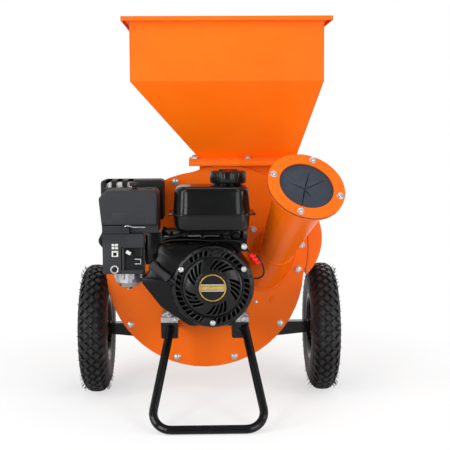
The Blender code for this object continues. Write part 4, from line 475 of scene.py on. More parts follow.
LAMPS = [  # name, place, where it aims, width and height, watts
    ("left_key", (-2.3, -1.7, 1.25), (0, -0.1, 0.45), (0.6, 1.7), 24),
    ("left_front", (-1.40, -2.95, 0.85), (0, 0, 0.4), (0.7, 1.5), 25),
    ("high_left", (-1.5, -1.9, 2.5), (0, -0.1, 0.4), (0.4, 1.3), 13),
    ("high_right", (1.5, -1.9, 2.5), (0, -0.1, 0.4), (0.4, 1.3), 12),
    ("right_front", (1.5, -3.0, 0.9), (0, 0, 0.35), (1.3, 1.6), 22),
    ("right_side", (2.5, -1.2, 0.75), (0, -0.1, 0.45), (0.5, 1.6), 20),
    ("top", (0.2, 0.3, 3.2), (0, 0, 0.4), (2.0, 2.0), 19),
    ("rim", (1.2, 2.4, 2.0), (0, 0, 0.5), (1.6, 1.6), 22),
]


def make_lights():
    for lamp in LAMPS:
        soft_box(*lamp)


bpy.context.scene.view_settings.view_transform = "Standard"
make_camera()
make_floor()
make_surround()
make_lights()
dress_nodes()


# Mesh tools


def turns(count, start=0.0):
    """Angles of equal steps round a circle; start is a share of one step."""
    return [2 * math.pi * (k + start) / count for k in range(count)]


def read_off(table, at):
    """The value at a place in rows of (place, value), straight between them."""
    for (x0, v0), (x1, v1) in zip(table, table[1:]):
        if at <= x1:
            return v0 + (v1 - v0) * (at - x0) / (x1 - x0)
    return table[-1][1]


def piece(name, bm, finish, body, sharp=35, replaces=()):
    """One piece of the machine from its mesh, riding on a body of the frame."""
    bmesh.ops.recalc_face_normals(bm, faces=bm.faces)
    mesh = bpy.data.meshes.new(name)
    bm.to_mesh(mesh)
    bm.free()
    mesh.polygons.foreach_set("use_smooth", [True] * len(mesh.polygons))
    mesh.set_sharp_from_angle(angle=math.radians(sharp))
    mesh.materials.append(FINISH[finish])
    made = bpy.data.objects.new(name, mesh)
    bpy.context.scene.collection.objects.link(made)
    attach(made, body)
    if replaces:
        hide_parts(*replaces)
    return made


def add_skin(bm, rings, caps=(True, True)):
    """Skin over closed rings of equal point counts; a one-point ring closes to a tip."""
    loops = [[bm.verts.new(point) for point in ring] for ring in rings]
    for first, second in zip(loops, loops[1:]):
        count = max(len(first), len(second))
        for k in range(count):
            n = (k + 1) % count
            if len(first) == 1:
                bm.faces.new((first[0], second[n], second[k]))
            elif len(second) == 1:
                bm.faces.new((first[k], first[n], second[0]))
            else:
                bm.faces.new((first[k], first[n], second[n], second[k]))
    if caps[0] and len(loops[0]) > 2:
        bm.faces.new(loops[0][::-1])
    if caps[1] and len(loops[-1]) > 2:
        bm.faces.new(loops[-1])


WELD_DISTANCE = 1e-7


def add_tube_skin(bm, rings):
    """Skin over rings that come back to the first one, such as a wall with its inside."""
    start = len(bm.verts)
    add_skin(bm, rings + rings[:1], (False, False))
    bm.verts.ensure_lookup_table()
    bmesh.ops.remove_doubles(bm, verts=bm.verts[start:], dist=WELD_DISTANCE)


def frame_about(axis):
    """An axis and two unit vectors across it."""
    axis = Vector(axis).normalized()
    side = Vector(UP).cross(axis)
    if side.length < 0.01:
        side = Vector((1, 0, 0))
    side.normalize()
    return axis, side, axis.cross(side)


def add_lathe(bm, profile, at, axis=BACKWARD, steps=48, closed=False):
    """Profile points (radius, height) turned about an axis through at."""
    axis, side, other = frame_about(axis)
    rings = []
    for radius, height in profile:
        middle = Vector(at) + axis * height
        ring = [middle + (side * math.cos(turn) + other * math.sin(turn)) * radius for turn in turns(steps)]
        rings.append(ring if radius else [middle])
    skin = add_tube_skin if closed else add_skin
    skin(bm, rings)


def add_box(bm, low, high, bevel=0.0, segments=2, at=MACHINE):
    """A block between two corners, both measured from at."""
    made = bmesh.ops.create_cube(bm, size=1.0)["verts"]
    low, high = at + Vector(low), at + Vector(high)
    for vert in made:
        vert.co = Vector([(low[i] + high[i]) / 2 + vert.co[i] * (high[i] - low[i]) for i in range(3)])
    if bevel:
        edges = dict.fromkeys(edge for vert in made for edge in vert.link_edges)
        bmesh.ops.bevel(bm, geom=list(edges), offset=bevel, segments=segments, profile=0.5, affect="EDGES")


def add_prism(bm, outline, y_front, y_back, bevel=0.0, segments=2):
    """An outline of (x, z) points made as thick as from y_front to y_back."""
    front = [bm.verts.new(spot(x, y_front, z)) for x, z in outline]
    back = [bm.verts.new(spot(x, y_back, z)) for x, z in outline]
    faces = [bm.faces.new(front), bm.faces.new(back[::-1])]
    count = len(outline)
    for k in range(count):
        n = (k + 1) % count
        faces.append(bm.faces.new((front[n], front[k], back[k], back[n])))
    if bevel:
        bmesh.ops.bevel(bm, geom=list(faces[0].edges), offset=bevel, segments=segments, profile=0.5,
                        affect="EDGES")


def through(points, per=6):
    """A smooth line through points, per steps from each to the next."""
    made = []
    for k in range(len(points) - 1):
        p0, p1, p2 = points[max(k - 1, 0)], points[k], points[k + 1]
        p3 = points[min(k + 2, len(points) - 1)]
        for i in range(per):
            t = i / per
            made.append(0.5 * (2 * p1 + (p2 - p0) * t + (2 * p0 - 5 * p1 + 4 * p2 - p3) * t ** 2
                               + (3 * p1 - p0 - 3 * p2 + p3) * t ** 3))
    return made + [points[-1]]


def spots(*places):
    return [spot(*place) for place in places]


def straight(start, end, steps):
    return [start.lerp(end, k / steps) for k in range(steps + 1)]


def add_pipe(bm, points, radius, sides=12, squash=1.0):
    """A round bar, or an oval one, along a line; radius may change along it."""
    radii = radius if isinstance(radius, list) else [radius] * len(points)
    _, side, _ = frame_about((points[1] - points[0]).normalized())
    rings = []
    for k, point in enumerate(points):
        along = (points[min(k + 1, len(points) - 1)] - points[max(k - 1, 0)]).normalized()
        side = (side - along * side.dot(along)).normalized()
        other = along.cross(side)
        rings.append([point + side * math.cos(turn) * radii[k] + other * math.sin(turn) * radii[k] * squash
                      for turn in turns(sides)])
    add_skin(bm, rings)


WELD_PITCH = 0.004
WELD_STEP = 0.0012


def add_bead(bm, points, radius):
    """A weld bead: a pipe with the ripples of its stops."""
    line = through(points, max(2, int((points[1] - points[0]).length / WELD_STEP)))
    radii = []
    run = 0.0
    for k, point in enumerate(line):
        if k:
            run += (point - line[k - 1]).length
        radii.append(radius * (1.0 + 0.12 * math.sin(2 * math.pi * run / WELD_PITCH)))
    add_pipe(bm, line, radii, 8)


# Fasteners, a little larger than the solids' own plain heads

HEX_R = 0.0081              # to the corners
HEX_CHAMFER = 0.0012
HEAD_DOME = ((0.8, 0.05), (0.55, 0.11), (0.25, 0.14))
WASHER_R = 0.0094
WASHER_T = 0.0016
HEAD_H = 0.0058
NUT_STUD = 0.003            # how far a screw's end stands out of its nut
STUD_R = 0.0037
THREAD_R = 0.0041
THREADS = 3


def add_hex(bm, at, axis, radius, height, turn=0.0, crowned=False):
    """Six-sided head with its corners chamfered; crowned has the low dome of a forged head."""
    axis, side, other = frame_about(axis)

    def ring(reach, up, six=True):
        made = []
        for step in turns(24):
            flat = math.cos(math.pi / 6) / math.cos(step % (math.pi / 3) - math.pi / 6)
            way = side * math.cos(step + turn) + other * math.sin(step + turn)
            made.append(Vector(at) + axis * up + way * reach * (flat if six else 1.0))
        return made

    low = radius * math.cos(math.pi / 6)
    rings = [ring(radius, 0), ring(radius, height - HEX_CHAMFER), ring(low * 0.99, height, False)]
    if crowned:
        rings += [ring(low * share, height + radius * up, False) for share, up in HEAD_DOME]
    add_skin(bm, rings)


def add_bolt(bm, at, axis, turn=0.0, size=1.0, stud=0.0):
    """Washer and head standing on the face at at; with stud it is a nut on the end of a stud."""
    axis = Vector(axis).normalized()
    washer = [(0, 0), (WASHER_R * size, 0), (WASHER_R * size, WASHER_T * 0.7 * size),
              (WASHER_R * 0.93 * size, WASHER_T * size), (0, WASHER_T * size)]
    add_lathe(bm, washer, at, axis, 28)
    add_hex(bm, at + axis * WASHER_T * size, axis, HEX_R * size, HEAD_H * size - WASHER_T * size, turn,
            not stud)
    if stud:
        start = HEAD_H * size - 0.001
        pitch = stud / THREADS
        profile = [(0, start)]
        for k in range(THREADS):
            profile += [(STUD_R * size, start + pitch * k), (THREAD_R * size, start + pitch * (k + 0.5))]
        profile += [(0.0036 * size, start + stud), (0, start + stud)]
        add_lathe(bm, profile, at, axis, 16)


def bolt_row(name, places, axis, body, size=1.0, stud=0.0, finish="zinc"):
    """Bolts or nuts of one kind, each turned a little further than the last."""
    bm = bmesh.new()
    for k, place in enumerate(places):
        add_bolt(bm, place, axis, 0.37 + 0.83 * k, size, stud)
    piece(name, bm, finish, body, 28)


def ring_of(centre, radius, degrees, y):
    """Spots on a circle about an (x, z) centre."""
    angles = [math.radians(turn) for turn in degrees]
    return [spot(centre[0] + radius * math.cos(turn), y, centre[1] + radius * math.sin(turn))
            for turn in angles]


# Drum

CRANK_H = 0.352
PLATE_MIDDLE = (-0.018, CRANK_H)
PLATE_BOLT_R = 0.256
DRUM_NUT_Y = 0.0083         # rear face of the drum's flange
PLATE_FASTENERS = [  # name, place on the plate, size, stud
    ("lobe_bolt", (0.248, 0.0, 0.419), 0.98, 0.0035),
    ("chute_side_nuts", (0.115, 0.0, 0.4632), 0.9, 0.0035),
    ("small_plate_bolt", (0.1213, 0.0, 0.2611), 0.55, 0.0),
]
LOBE_MIDDLE = (0.038, 0.412)
LOBE_R = 0.227
NECK_TOP = 0.655
NECK_BOLTS = [(x, y) for x in (-0.045, 0.1, 0.241) for y in (-0.006, 0.156)]
NECK_LIP_T = 0.0023         # half of the flanges' joint
NECK_LIP_UNDER = 0.0043


def make_drum_bolts():
    """Bolts round the drum and the hopper's, with their nuts, and a near-black bead along the lobe's edge,
    a painted shadow line.
    """
    degrees = [36 * k for k in range(3, 11)]
    bolt_row("drum_bolts", ring_of(PLATE_MIDDLE, PLATE_BOLT_R, degrees, 0.0), FORWARD, MAIN)
    bolt_row("drum_nuts", ring_of(PLATE_MIDDLE, PLATE_BOLT_R, degrees, DRUM_NUT_Y), BACKWARD, MAIN, 1.0,
             NUT_STUD)
    for name, place, size, stud in PLATE_FASTENERS:
        bolt_row(name, spots(place), FORWARD, MAIN, size, stud)
    # near-black bead along the lobe's edge: painted shadow in the gap between the plate and the lobe behind
    # it
    bm = bmesh.new()
    add_bead(bm, ring_of(LOBE_MIDDLE, LOBE_R + 0.0006, range(-16, 12), 0.003), 0.0009)
    piece("lobe_shadow_line", bm, "pit", MAIN, 60)
    bolt_row("hopper_bolts", [spot(x, y, NECK_TOP + NECK_LIP_T) for x, y in NECK_BOLTS], UP, MAIN)
    bolt_row("hopper_nuts", [spot(x, y, NECK_TOP - NECK_LIP_UNDER) for x, y in NECK_BOLTS], DOWN, MAIN, 1.0,
             NUT_STUD)


# Chipper chute

MOUTH = spot(0.233, -0.25, 0.594)
CHUTE_RAISE = math.radians(41.3)
CHUTE_TURN = math.radians(16.2)
CHUTE_LONG = 0.276
CHUTE_T = 0.003
CREASE_R = 0.045            # where the flat boot turns into the round tube
TUBE_R = 0.074
CHUTE_FLANGE_R = 0.0995
CHUTE_FLANGE_T = 0.004
CHUTE_STEPS = 96
BOOT_X, BOOT_Z = 0.165, 0.385
BOOT_LONG = 0.095           # half lengths of the boot's oval foot
BOOT_WIDE = 0.060
BOOT_TILT = math.radians(64)
MOUTH_BOLT_R = 0.087
MOUTH_BOLTS = [-25 + 90 * k for k in range(4)]
RING_FACE = 0.0076
FLAP_R = 0.0994
FLAP_SLITS = (  # degrees, length
    (144, 0.045), (63, 0.063), (25, 0.071), (-67, 0.028), (-111, 0.053),
)
FLAP_MEET = (-0.0082, -0.0113)      # where the slits meet, off the mouth's middle
FLAP_WELD = 0.00004         # joins the petals where they share an edge
FLAP_MID = 0.0018
FLAP_HALF = 0.0012
FLAP_ROWS = [0.0012, 0.005, 0.01, 0.016, 0.022, 0.028, 0.036, 0.045, 0.053, 0.063, 0.071, 0.075]
LIP_GAP = 0.0005            # half width of a slit at its end, and what it gains towards the middle
LIP_GAPE = 0.0011
TIP_CURL = 0.0034
LIP_CURL = 0.0013

OUT = Vector((math.cos(CHUTE_RAISE) * math.sin(CHUTE_TURN), -math.cos(CHUTE_RAISE) * math.cos(CHUTE_TURN),
              math.sin(CHUTE_RAISE)))
ACROSS = Vector(UP).cross(OUT).normalized()
UPWARD = OUT.cross(ACROSS)


def mouth_point(radius, degrees, ahead=0.0):
    angle = math.radians(degrees)
    return MOUTH + OUT * ahead + (ACROSS * math.cos(angle) + UPWARD * math.sin(angle)) * radius


def flap_point(reach, degrees, ahead):
    """A point of the curtain at a distance from where its slits meet."""
    angle = math.radians(degrees)
    across, upward = FLAP_MEET[0] + reach * math.cos(angle), FLAP_MEET[1] + reach * math.sin(angle)
    return MOUTH + OUT * ahead + ACROSS * across + UPWARD * upward


def flap_reach(degrees):
    """From where the slits meet to the curtain's round edge."""
    angle = math.radians(degrees)
    along = FLAP_MEET[0] * math.cos(angle) + FLAP_MEET[1] * math.sin(angle)
    return -along + math.sqrt(along ** 2 + FLAP_R ** 2 - FLAP_MEET[0] ** 2 - FLAP_MEET[1] ** 2)


def lip_angle(radius, length):
    """How many degrees a lip stands off its slit at a distance from where the slits meet."""
    if radius >= length:
        return 0.0
    return math.degrees(min(0.25, (LIP_GAP + LIP_GAPE * (1 - radius / length)) / radius))


def flap_grid(bm, first, span, count, lengths, level):
    """One face of a petal between two slits of these lengths, row by row outwards."""
    grid = []
    for row_at, reach in enumerate(FLAP_ROWS + [0.5, 1.0]):
        row = []
        for k in range(count + 1):
            share = k / count
            angle = first + span * share
            radius = reach
            if row_at >= len(FLAP_ROWS):
                radius = FLAP_ROWS[-1] + (flap_reach(angle) - FLAP_ROWS[-1]) * reach
            if k == 0:
                angle += lip_angle(radius, lengths[0])
            if k == count:
                angle -= lip_angle(radius, lengths[1])
            tip = max(0.0, 1 - radius / 0.050)
            near = max(0.0, 1 - min(share, 1 - share) * span / 16)
            curl = TIP_CURL * tip ** 1.5 + LIP_CURL * near * tip ** 0.5 * (radius < max(lengths))
            row.append(bm.verts.new(flap_point(radius, angle, FLAP_MID + level + curl)))
        grid.append(row)
    for upper, lower in zip(grid, grid[1:]):
        for k in range(count):
            bm.faces.new((upper[k], upper[k + 1], lower[k + 1], lower[k]))
    return grid


def make_flap():
    """Rubber curtain over the mouth: a disc slit from off its middle, the slits' lips curled and open."""
    slits = sorted((turn % 360, length) for turn, length in FLAP_SLITS)
    slits.append((slits[0][0] + 360, slits[0][1]))
    bm = bmesh.new()
    for (first, start_reach), (second, end_reach) in zip(slits, slits[1:]):
        count = max(8, round((second - first) / 6))
        top, under = (flap_grid(bm, first, second - first, count, (start_reach, end_reach), level)
                      for level in (FLAP_HALF, -FLAP_HALF))
        for k in range(count):
            for row in (-1, 0):
                bm.faces.new((top[row][k], top[row][k + 1], under[row][k + 1], under[row][k]))
        for edge, length in ((0, start_reach), (count, end_reach)):
            for k, reach in enumerate(FLAP_ROWS[:-1]):
                if reach < length:
                    bm.faces.new((top[k][edge], top[k + 1][edge], under[k + 1][edge], under[k][edge]))
    bmesh.ops.remove_doubles(bm, verts=bm.verts, dist=FLAP_WELD)
    piece("chute_curtain", bm, "flap", MAIN, 40, ["chute_flap"])


def boot_point(angle, inset=0.0):
    along = (BOOT_LONG - inset) * math.sin(angle)
    across = (BOOT_WIDE - inset) * math.cos(angle)
    return spot(BOOT_X + along * math.cos(BOOT_TILT) + across * math.sin(BOOT_TILT), 0.0,
                BOOT_Z + along * math.sin(BOOT_TILT) - across * math.cos(BOOT_TILT))


def make_chute():
    """Boot, flared tube and mouth flange, skinned up the outside and down the bore."""
    degrees = [360 * k / CHUTE_STEPS for k in range(CHUTE_STEPS)]

    def oval(inset):
        return [boot_point(math.radians(turn), inset) - Vector((0, 0.0003, 0)) for turn in degrees]

    def circle(radius, ahead=0.0):
        return [mouth_point(radius, turn, ahead) for turn in degrees]

    def between(first, second, shares):
        return [[a.lerp(b, share) for a, b in zip(first, second)] for share in shares]

    foot, crease, neck = oval(0.0), circle(CREASE_R, -CHUTE_LONG), circle(TUBE_R, -CHUTE_FLANGE_T)
    lip, bend, root = circle(TUBE_R - CHUTE_T), circle(CREASE_R - CHUTE_T, -CHUTE_LONG), oval(CHUTE_T)
    rings = [foot] + between(foot, crease, (0.2, 0.4, 0.6, 0.8))
    rings += between(crease, neck, (0.0, 0.15, 0.4, 0.7, 1.0))
    rings += [circle(CHUTE_FLANGE_R, -CHUTE_FLANGE_T), circle(CHUTE_FLANGE_R)]
    rings += between(lip, bend, (0.0, 0.5)) + between(bend, root, (0.0, 0.5, 1.0))
    bm = bmesh.new()
    add_tube_skin(bm, rings)
    piece("chute_tube", bm, "tube", MAIN, 32, ["chipper_chute"])


def make_chute_trim():
    """Bolts and nuts of the mouth's ring, and the welds at the boot, the crease and the flange."""
    faces = [mouth_point(MOUTH_BOLT_R, degrees, RING_FACE) for degrees in MOUTH_BOLTS]
    bolt_row("chute_bolts", faces, OUT, MAIN)
    backs = [mouth_point(MOUTH_BOLT_R, degrees, -0.0043) for degrees in MOUTH_BOLTS]
    bolt_row("chute_nuts", backs, -OUT, MAIN, 1.0, NUT_STUD)
    bm = bmesh.new()
    add_bead(bm, [boot_point(2 * math.pi * k / 40, -0.0006) + Vector((0, -0.0012, 0)) for k in range(41)],
             0.003)
    for reach, ahead, radius in ((CREASE_R + 0.001, -CHUTE_LONG, 0.002),
                                 (TUBE_R + 0.0002, -0.0056, 0.0026)):
        add_bead(bm, [mouth_point(reach, 9 * k, ahead) for k in range(41)], radius)
    piece("chute_welds", bm, "orange", MAIN, 60)


# Tyres and rims

WHEEL_R = 0.179
WHEEL_BACK = 0.072
TYRE_X = {"left": -0.324, "right": 0.310}
OUTWARD = {"left": -1, "right": 1}
BEAD_R = 0.083
CROWN = [(0.083, 0.0248), (0.088, 0.0322), (0.101, 0.0376), (0.129, 0.04), (0.147, 0.037), (0.158, 0.032),
         (0.169, 0.0235), (0.1745, 0.014), (0.1765, 0.0)]
TREAD_RADII = [(0.0, 0.179), (0.012, 0.1785), (0.02, 0.176), (0.027, 0.1705), (0.033, 0.1585),
               (0.036, 0.149)]
TREAD = 0.0056              # how high the blocks stand
TREAD_COLUMNS = 5
TREAD_AROUND = 40
TREAD_PITCH = 0.0142
BLOCK_LONG = 0.0117         # half lengths of a diamond block
BLOCK_WIDE = 0.0108
OUTER_BLOCK_WIDE = 0.0086
BLOCK_PUSH = 0.0035
TYRE_WALL = 0.007
WHISKERS = 260
WHISKER_RADII = [0.00065, 0.00055, 0.00035]


def crown_radius(across):
    """Tread surface radius at a distance from the tyre's middle."""
    return read_off(TREAD_RADII, abs(across))


def wheel_point(side, radius, across, angle):
    """A point on a wheel; across is measured outwards from the machine."""
    return spot(TYRE_X[side] + OUTWARD[side] * across, WHEEL_BACK + radius * math.sin(angle),
                WHEEL_R + radius * math.cos(angle))


def tyre_section():
    """The carcass's outline under the tread, outside and then inside."""
    half = [(radius - (TREAD if radius > 0.15 else 0.0), across) for radius, across in CROWN]
    outer = half + [(r, -h) for r, h in half[-2::-1]]
    fine = []
    for (r0, h0), (r1, h1) in zip(outer, outer[1:]):
        fine += [(r0 + (r1 - r0) * k / 3, h0 + (h1 - h0) * k / 3) for k in range(3)]
    inner = [(r - TYRE_WALL, h * 0.82) for r, h in outer[::-1] if r > 0.086]
    return fine + [outer[-1], (BEAD_R + 0.0005, -0.018)] + inner + [(BEAD_R + 0.0005, 0.018)]


def add_tread(bm, side):
    """Staggered diamond blocks, those of the outer columns narrower and pushed outwards."""
    for column in range(TREAD_COLUMNS):
        across = (column - (TREAD_COLUMNS - 1) / 2) * TREAD_PITCH
        wide, push = BLOCK_WIDE, 0.0
        if column in (0, TREAD_COLUMNS - 1):
            wide, push = OUTER_BLOCK_WIDE, math.copysign(BLOCK_PUSH, across)
        corners = [(push, -BLOCK_LONG), (wide + push * 0.2, 0), (push, BLOCK_LONG), (-wide + push * 0.2, 0)]
        for angle in turns(TREAD_AROUND, 0.5 * (column % 2)):
            foot, top = [], []
            for dx, along in corners:
                for group, shrink, lift in ((foot, 0.96, -TREAD - 0.001), (top, 0.74, -0.0002)):
                    x = across + dx * shrink
                    group.append(wheel_point(side, crown_radius(x) + lift, x,
                                             angle + along * shrink / WHEEL_R))
            add_skin(bm, [foot, top], (False, True))


def add_side_lugs(bm, side):
    """Short bars down both shoulders, between the outer blocks."""
    for out in (-1, 1):
        for angle in turns(TREAD_AROUND, 0.25):
            foot, top = [], []
            for reach, along in ((0.134, -0.0026), (0.15, -0.004), (0.15, 0.004), (0.134, 0.0026)):
                skin = 0.0396 if reach < 0.14 else 0.0362
                foot.append(wheel_point(side, reach, out * (skin - 0.002), angle + along / reach))
                top.append(wheel_point(side, reach, out * min(skin + 0.0006, 0.0398),
                                       angle + along * 0.75 / reach))
            add_skin(bm, [foot, top], (False, True))


def make_tyre(side):
    """Pneumatic tyre: carcass, tread, shoulder lugs and moulding whiskers."""
    body = BODY[side + "_tyre"]
    bm = bmesh.new()
    add_lathe(bm, tyre_section(), wheel_point(side, 0, 0, 0), (OUTWARD[side], 0, 0), 96, True)
    add_tread(bm, side)
    add_side_lugs(bm, side)
    piece(side + "_tyre_tread", bm, "tyre", body, 30, [side + "_tyre"])
    shuffle = random.Random(5 if side == "left" else 8)
    bm = bmesh.new()
    for _ in range(WHISKERS):
        angle = shuffle.uniform(0, 2 * math.pi)
        edge = shuffle.choice((-1, 1))
        across = edge * shuffle.uniform(0.0275, 0.0335)
        reach = crown_radius(across) - 0.002
        start = wheel_point(side, reach, across, angle)
        lean = angle + shuffle.uniform(-0.035, 0.035)
        tip = edge * min(abs(across) + 0.006, 0.0392)
        end = wheel_point(side, min(reach + shuffle.uniform(0.004, 0.0125), 0.1788), tip, lean)
        bend = Vector((0, shuffle.uniform(-0.001, 0.001), shuffle.uniform(-0.001, 0.001)))
        add_pipe(bm, [start, (start + end) / 2 + bend, end], WHISKER_RADII, 4)
    piece(side + "_tyre_whiskers", bm, "tyre", body)


RIM_HALF = 0.0248
RIM_BORE = 0.0146
HUB_HALF = 0.029
RIM_LIP = [(0.08, 0.002), (0.0845, 0.0075), (0.0905, 0.0098), (0.0935, 0.0092), (0.094, 0.008),
           (0.0925, 0.0068), (0.0865, 0.0052)]
RIM_BACK = [(0.02, -0.012), (0.024, -0.0065), (0.034, -0.005), (0.058, -0.0075), (0.066, -0.0062),
            (0.0715, -0.006), (0.0785, -0.015)]
RIM_FACE = [(0.0785, 0.015), (0.0715, 0.006), (0.066, 0.0046), (0.058, 0.0032), (0.034, 0.006),
            (0.024, 0.0075), (0.02, 0.012)]
WHEEL_BOLT_R = 0.046


def make_rim(side):
    """Pressed rim with rolled lips, dished disc, hub tube, wheel bolts and valve."""
    body = BODY[side + "_rim"]
    out = OUTWARD[side]
    shape = [(RIM_BORE, -HUB_HALF), (0.02, -HUB_HALF)] + RIM_BACK
    shape += [(radius, -RIM_HALF - lip) for radius, lip in RIM_LIP]
    shape += [(0.0826, -RIM_HALF + 0.001), (0.0826, RIM_HALF - 0.001)]
    shape += [(radius, RIM_HALF + lip) for radius, lip in RIM_LIP[::-1]]
    shape += RIM_FACE + [(0.02, HUB_HALF), (RIM_BORE, HUB_HALF)]
    bm = bmesh.new()
    add_lathe(bm, shape, wheel_point(side, 0, 0, 0), (out, 0, 0), 96, True)
    piece(side + "_rim_shell", bm, "black_coat", body, 28, [side + "_rim"])
    bm = bmesh.new()
    for angle in turns(5, 0.3):
        add_bolt(bm, wheel_point(side, WHEEL_BOLT_R, 0.0045, angle), (out, 0, 0), 0.4, 0.78)
        add_bolt(bm, wheel_point(side, WHEEL_BOLT_R, -0.0062, angle), (-out, 0, 0), 0.4, 0.78, 0.004)
    piece(side + "_wheel_bolts", bm, "zinc", body, 28)
    root, tip = wheel_point(side, 0.0742, -0.01, 2.5), wheel_point(side, 0.056, -0.03, 2.5)
    bm = bmesh.new()
    add_pipe(bm, [root, root.lerp(tip, 0.45), tip], [0.005, 0.004, 0.0034], 14)
    piece(side + "_valve", bm, "hose", body)
    along = (tip - root).normalized()
    bm = bmesh.new()
    add_pipe(bm, [tip - along * 0.001, tip + along * 0.008], 0.0036, 14)
    piece(side + "_valve_cap", bm, "enamel", body)


def make_axle_ends(side):
    """Nut and split pin on the axle's end."""
    out = OUTWARD[side]
    end = spot(TYRE_X[side] + out * 0.032, WHEEL_BACK, WHEEL_R)
    bm = bmesh.new()
    add_hex(bm, end, (out, 0, 0), 0.015, 0.0062, 0.3)
    pin = [end + Vector((out * 0.0046, -0.017, -0.002)), end + Vector((out * 0.0046, 0.017, 0.003))]
    add_pipe(bm, pin, 0.0013, 8)
    piece(side + "_axle_nut", bm, "zinc", MAIN, 28)


# Engine: fan housing and recoil starter

COVER_BACK = -0.2683
COVER_FACE = -0.2973
COVER_DEPTHS = [  # radius, and how far back the recoil cover's face stands there
    (0.0, COVER_FACE), (0.036, COVER_FACE), (0.045, -0.2968), (0.056, -0.2952), (0.065, -0.293),
    (0.0705, -0.2908), (0.0735, -0.2885), (0.0748, -0.2868), (0.076, -0.2866), (0.078, -0.2872),
    (0.092, -0.2868), (0.0945, -0.2862), (0.0975, -0.2845), (0.1005, -0.2815), (0.102, -0.278),
    (0.1028, -0.273), (0.103, COVER_BACK),
]
COVER_WALL = 0.0022
COVER_STOPS = (30, 150, 270)    # degrees of its three bolts
COVER_BOLT_R = 0.089
COLUMNS = 240
SWIRL_IN = 0.0445
SWIRL_OUT = 0.068
SWIRL_LEAN = 0.3
SWIRL_FIRST = 32            # column where a group of slots starts
BAND_IN = 0.0782
BAND_OUT = 0.0915
SHROUD_R = 0.104
SHROUD_BACK = -0.1783
SHROUD_FACE = -0.268
SHROUD_MOUTH_R = 0.0942
SHROUD_CORNERS = [(-0.135, 0.444), (-0.123, 0.456)]
SHROUD_FOOT = [(0.052, 0.251), (-0.057, 0.251), (-0.127, 0.299), (-0.1755, 0.362), (-0.1755, 0.374),
               (-0.164, 0.3775), (-0.135, 0.425)]
SHROUD_FOLDS = [  # how far the outline is drawn in, and how far back it stands; None is the fan's mouth
    (0.0, SHROUD_BACK), (0.0, SHROUD_FACE + 0.004), (0.0005, SHROUD_FACE + 0.002),
    (0.0015, SHROUD_FACE + 0.0007), (0.0034, SHROUD_FACE), (None, SHROUD_FACE),
    (None, SHROUD_FACE + 0.0022), (0.004, SHROUD_FACE + 0.0024), (0.0024, SHROUD_FACE + 0.0045),
    (0.0024, SHROUD_BACK),
]


def polar(radius, angle, y):
    """A point about the crank."""
    return spot(radius * math.cos(angle), y, CRANK_H + radius * math.sin(angle))


def shroud_outline():
    """The housing's front view, its corners cut back into short curves."""
    arc = []
    for k in range(45):
        angle = math.radians(90 - 145 * k / 44)
        arc.append((SHROUD_R * math.cos(angle), CRANK_H + SHROUD_R * math.sin(angle)))
    corners = [Vector(point) for point in SHROUD_CORNERS + arc + SHROUD_FOOT]
    made = []
    for k, point in enumerate(corners):
        before = corners[k - 1] - point
        after = corners[(k + 1) % len(corners)] - point
        start = point + before.normalized() * min(0.006, before.length * 0.4)
        end = point + after.normalized() * min(0.006, after.length * 0.4)
        steps = 5 if before.length > 0.01 or after.length > 0.01 else 1
        for i in range(steps + 1):
            share = i / steps
            made.append(start * (1 - share) ** 2 + point * 2 * share * (1 - share) + end * share ** 2)
    return made


def drawn_in(points, inset):
    """An outline that runs clockwise, moved inwards across its own edges."""
    made = []
    for k, point in enumerate(points):
        along = points[(k + 1) % len(points)] - points[k - 1]
        made.append(point + Vector((along.y, -along.x)).normalized() * inset)
    return made


def make_shroud():
    """Fan housing: a sheet-like shell with a rounded front edge and the fan's mouth, and its bracket."""
    outline = shroud_outline()
    crank = Vector((0, CRANK_H))
    mouth = [crank + (point - crank).normalized() * SHROUD_MOUTH_R for point in outline]
    rings = []
    for inset, y in SHROUD_FOLDS:
        points = mouth if inset is None else drawn_in(outline, inset)
        rings.append([spot(point.x, y, point.y) for point in points])
    bm = bmesh.new()
    add_tube_skin(bm, rings)
    add_box(bm, (-0.1672, -0.2203, 0.4), (-0.125, -0.2173, 0.4807), 0.0009)
    add_box(bm, (-0.166, -0.2203, 0.401), (-0.164, -0.19, 0.433), 0.0006, 1)
    add_lathe(bm, [(0, 0), (0.0022, 0), (0.0022, 0.031), (0, 0.031)], spot(-0.157, -0.218, 0.463), BACKWARD,
              16)
    for x, z, half in ((-0.104, 0.4485, 0.005), (0.0, 0.2505, 0.006)):
        add_box(bm, (x - half, SHROUD_FACE - 0.0002, z - 0.003), (x + half, SHROUD_FACE + 0.002, z + 0.003),
                0.0008)
    piece("fan_housing", bm, "shroud", BODY["fan_shroud"], 32, ["fan_shroud"])


def slotted(radius, column):
    """Whether a cell of the cover's face is open: five groups of four slots and a ring of short ones."""
    if SWIRL_IN < radius < SWIRL_OUT:
        place = (column - SWIRL_FIRST) % 48
        return place < 29 and place % 8 < 5
    if BAND_IN < radius < BAND_OUT:
        degrees = 360 * column / COLUMNS
        near_bolt = any(abs((degrees - stop + 180) % 360 - 180) < 7.5 for stop in COVER_STOPS)
        notch = abs(degrees - 90) < 7
        return column % 6 < 4 and not near_bolt and not notch
    return False


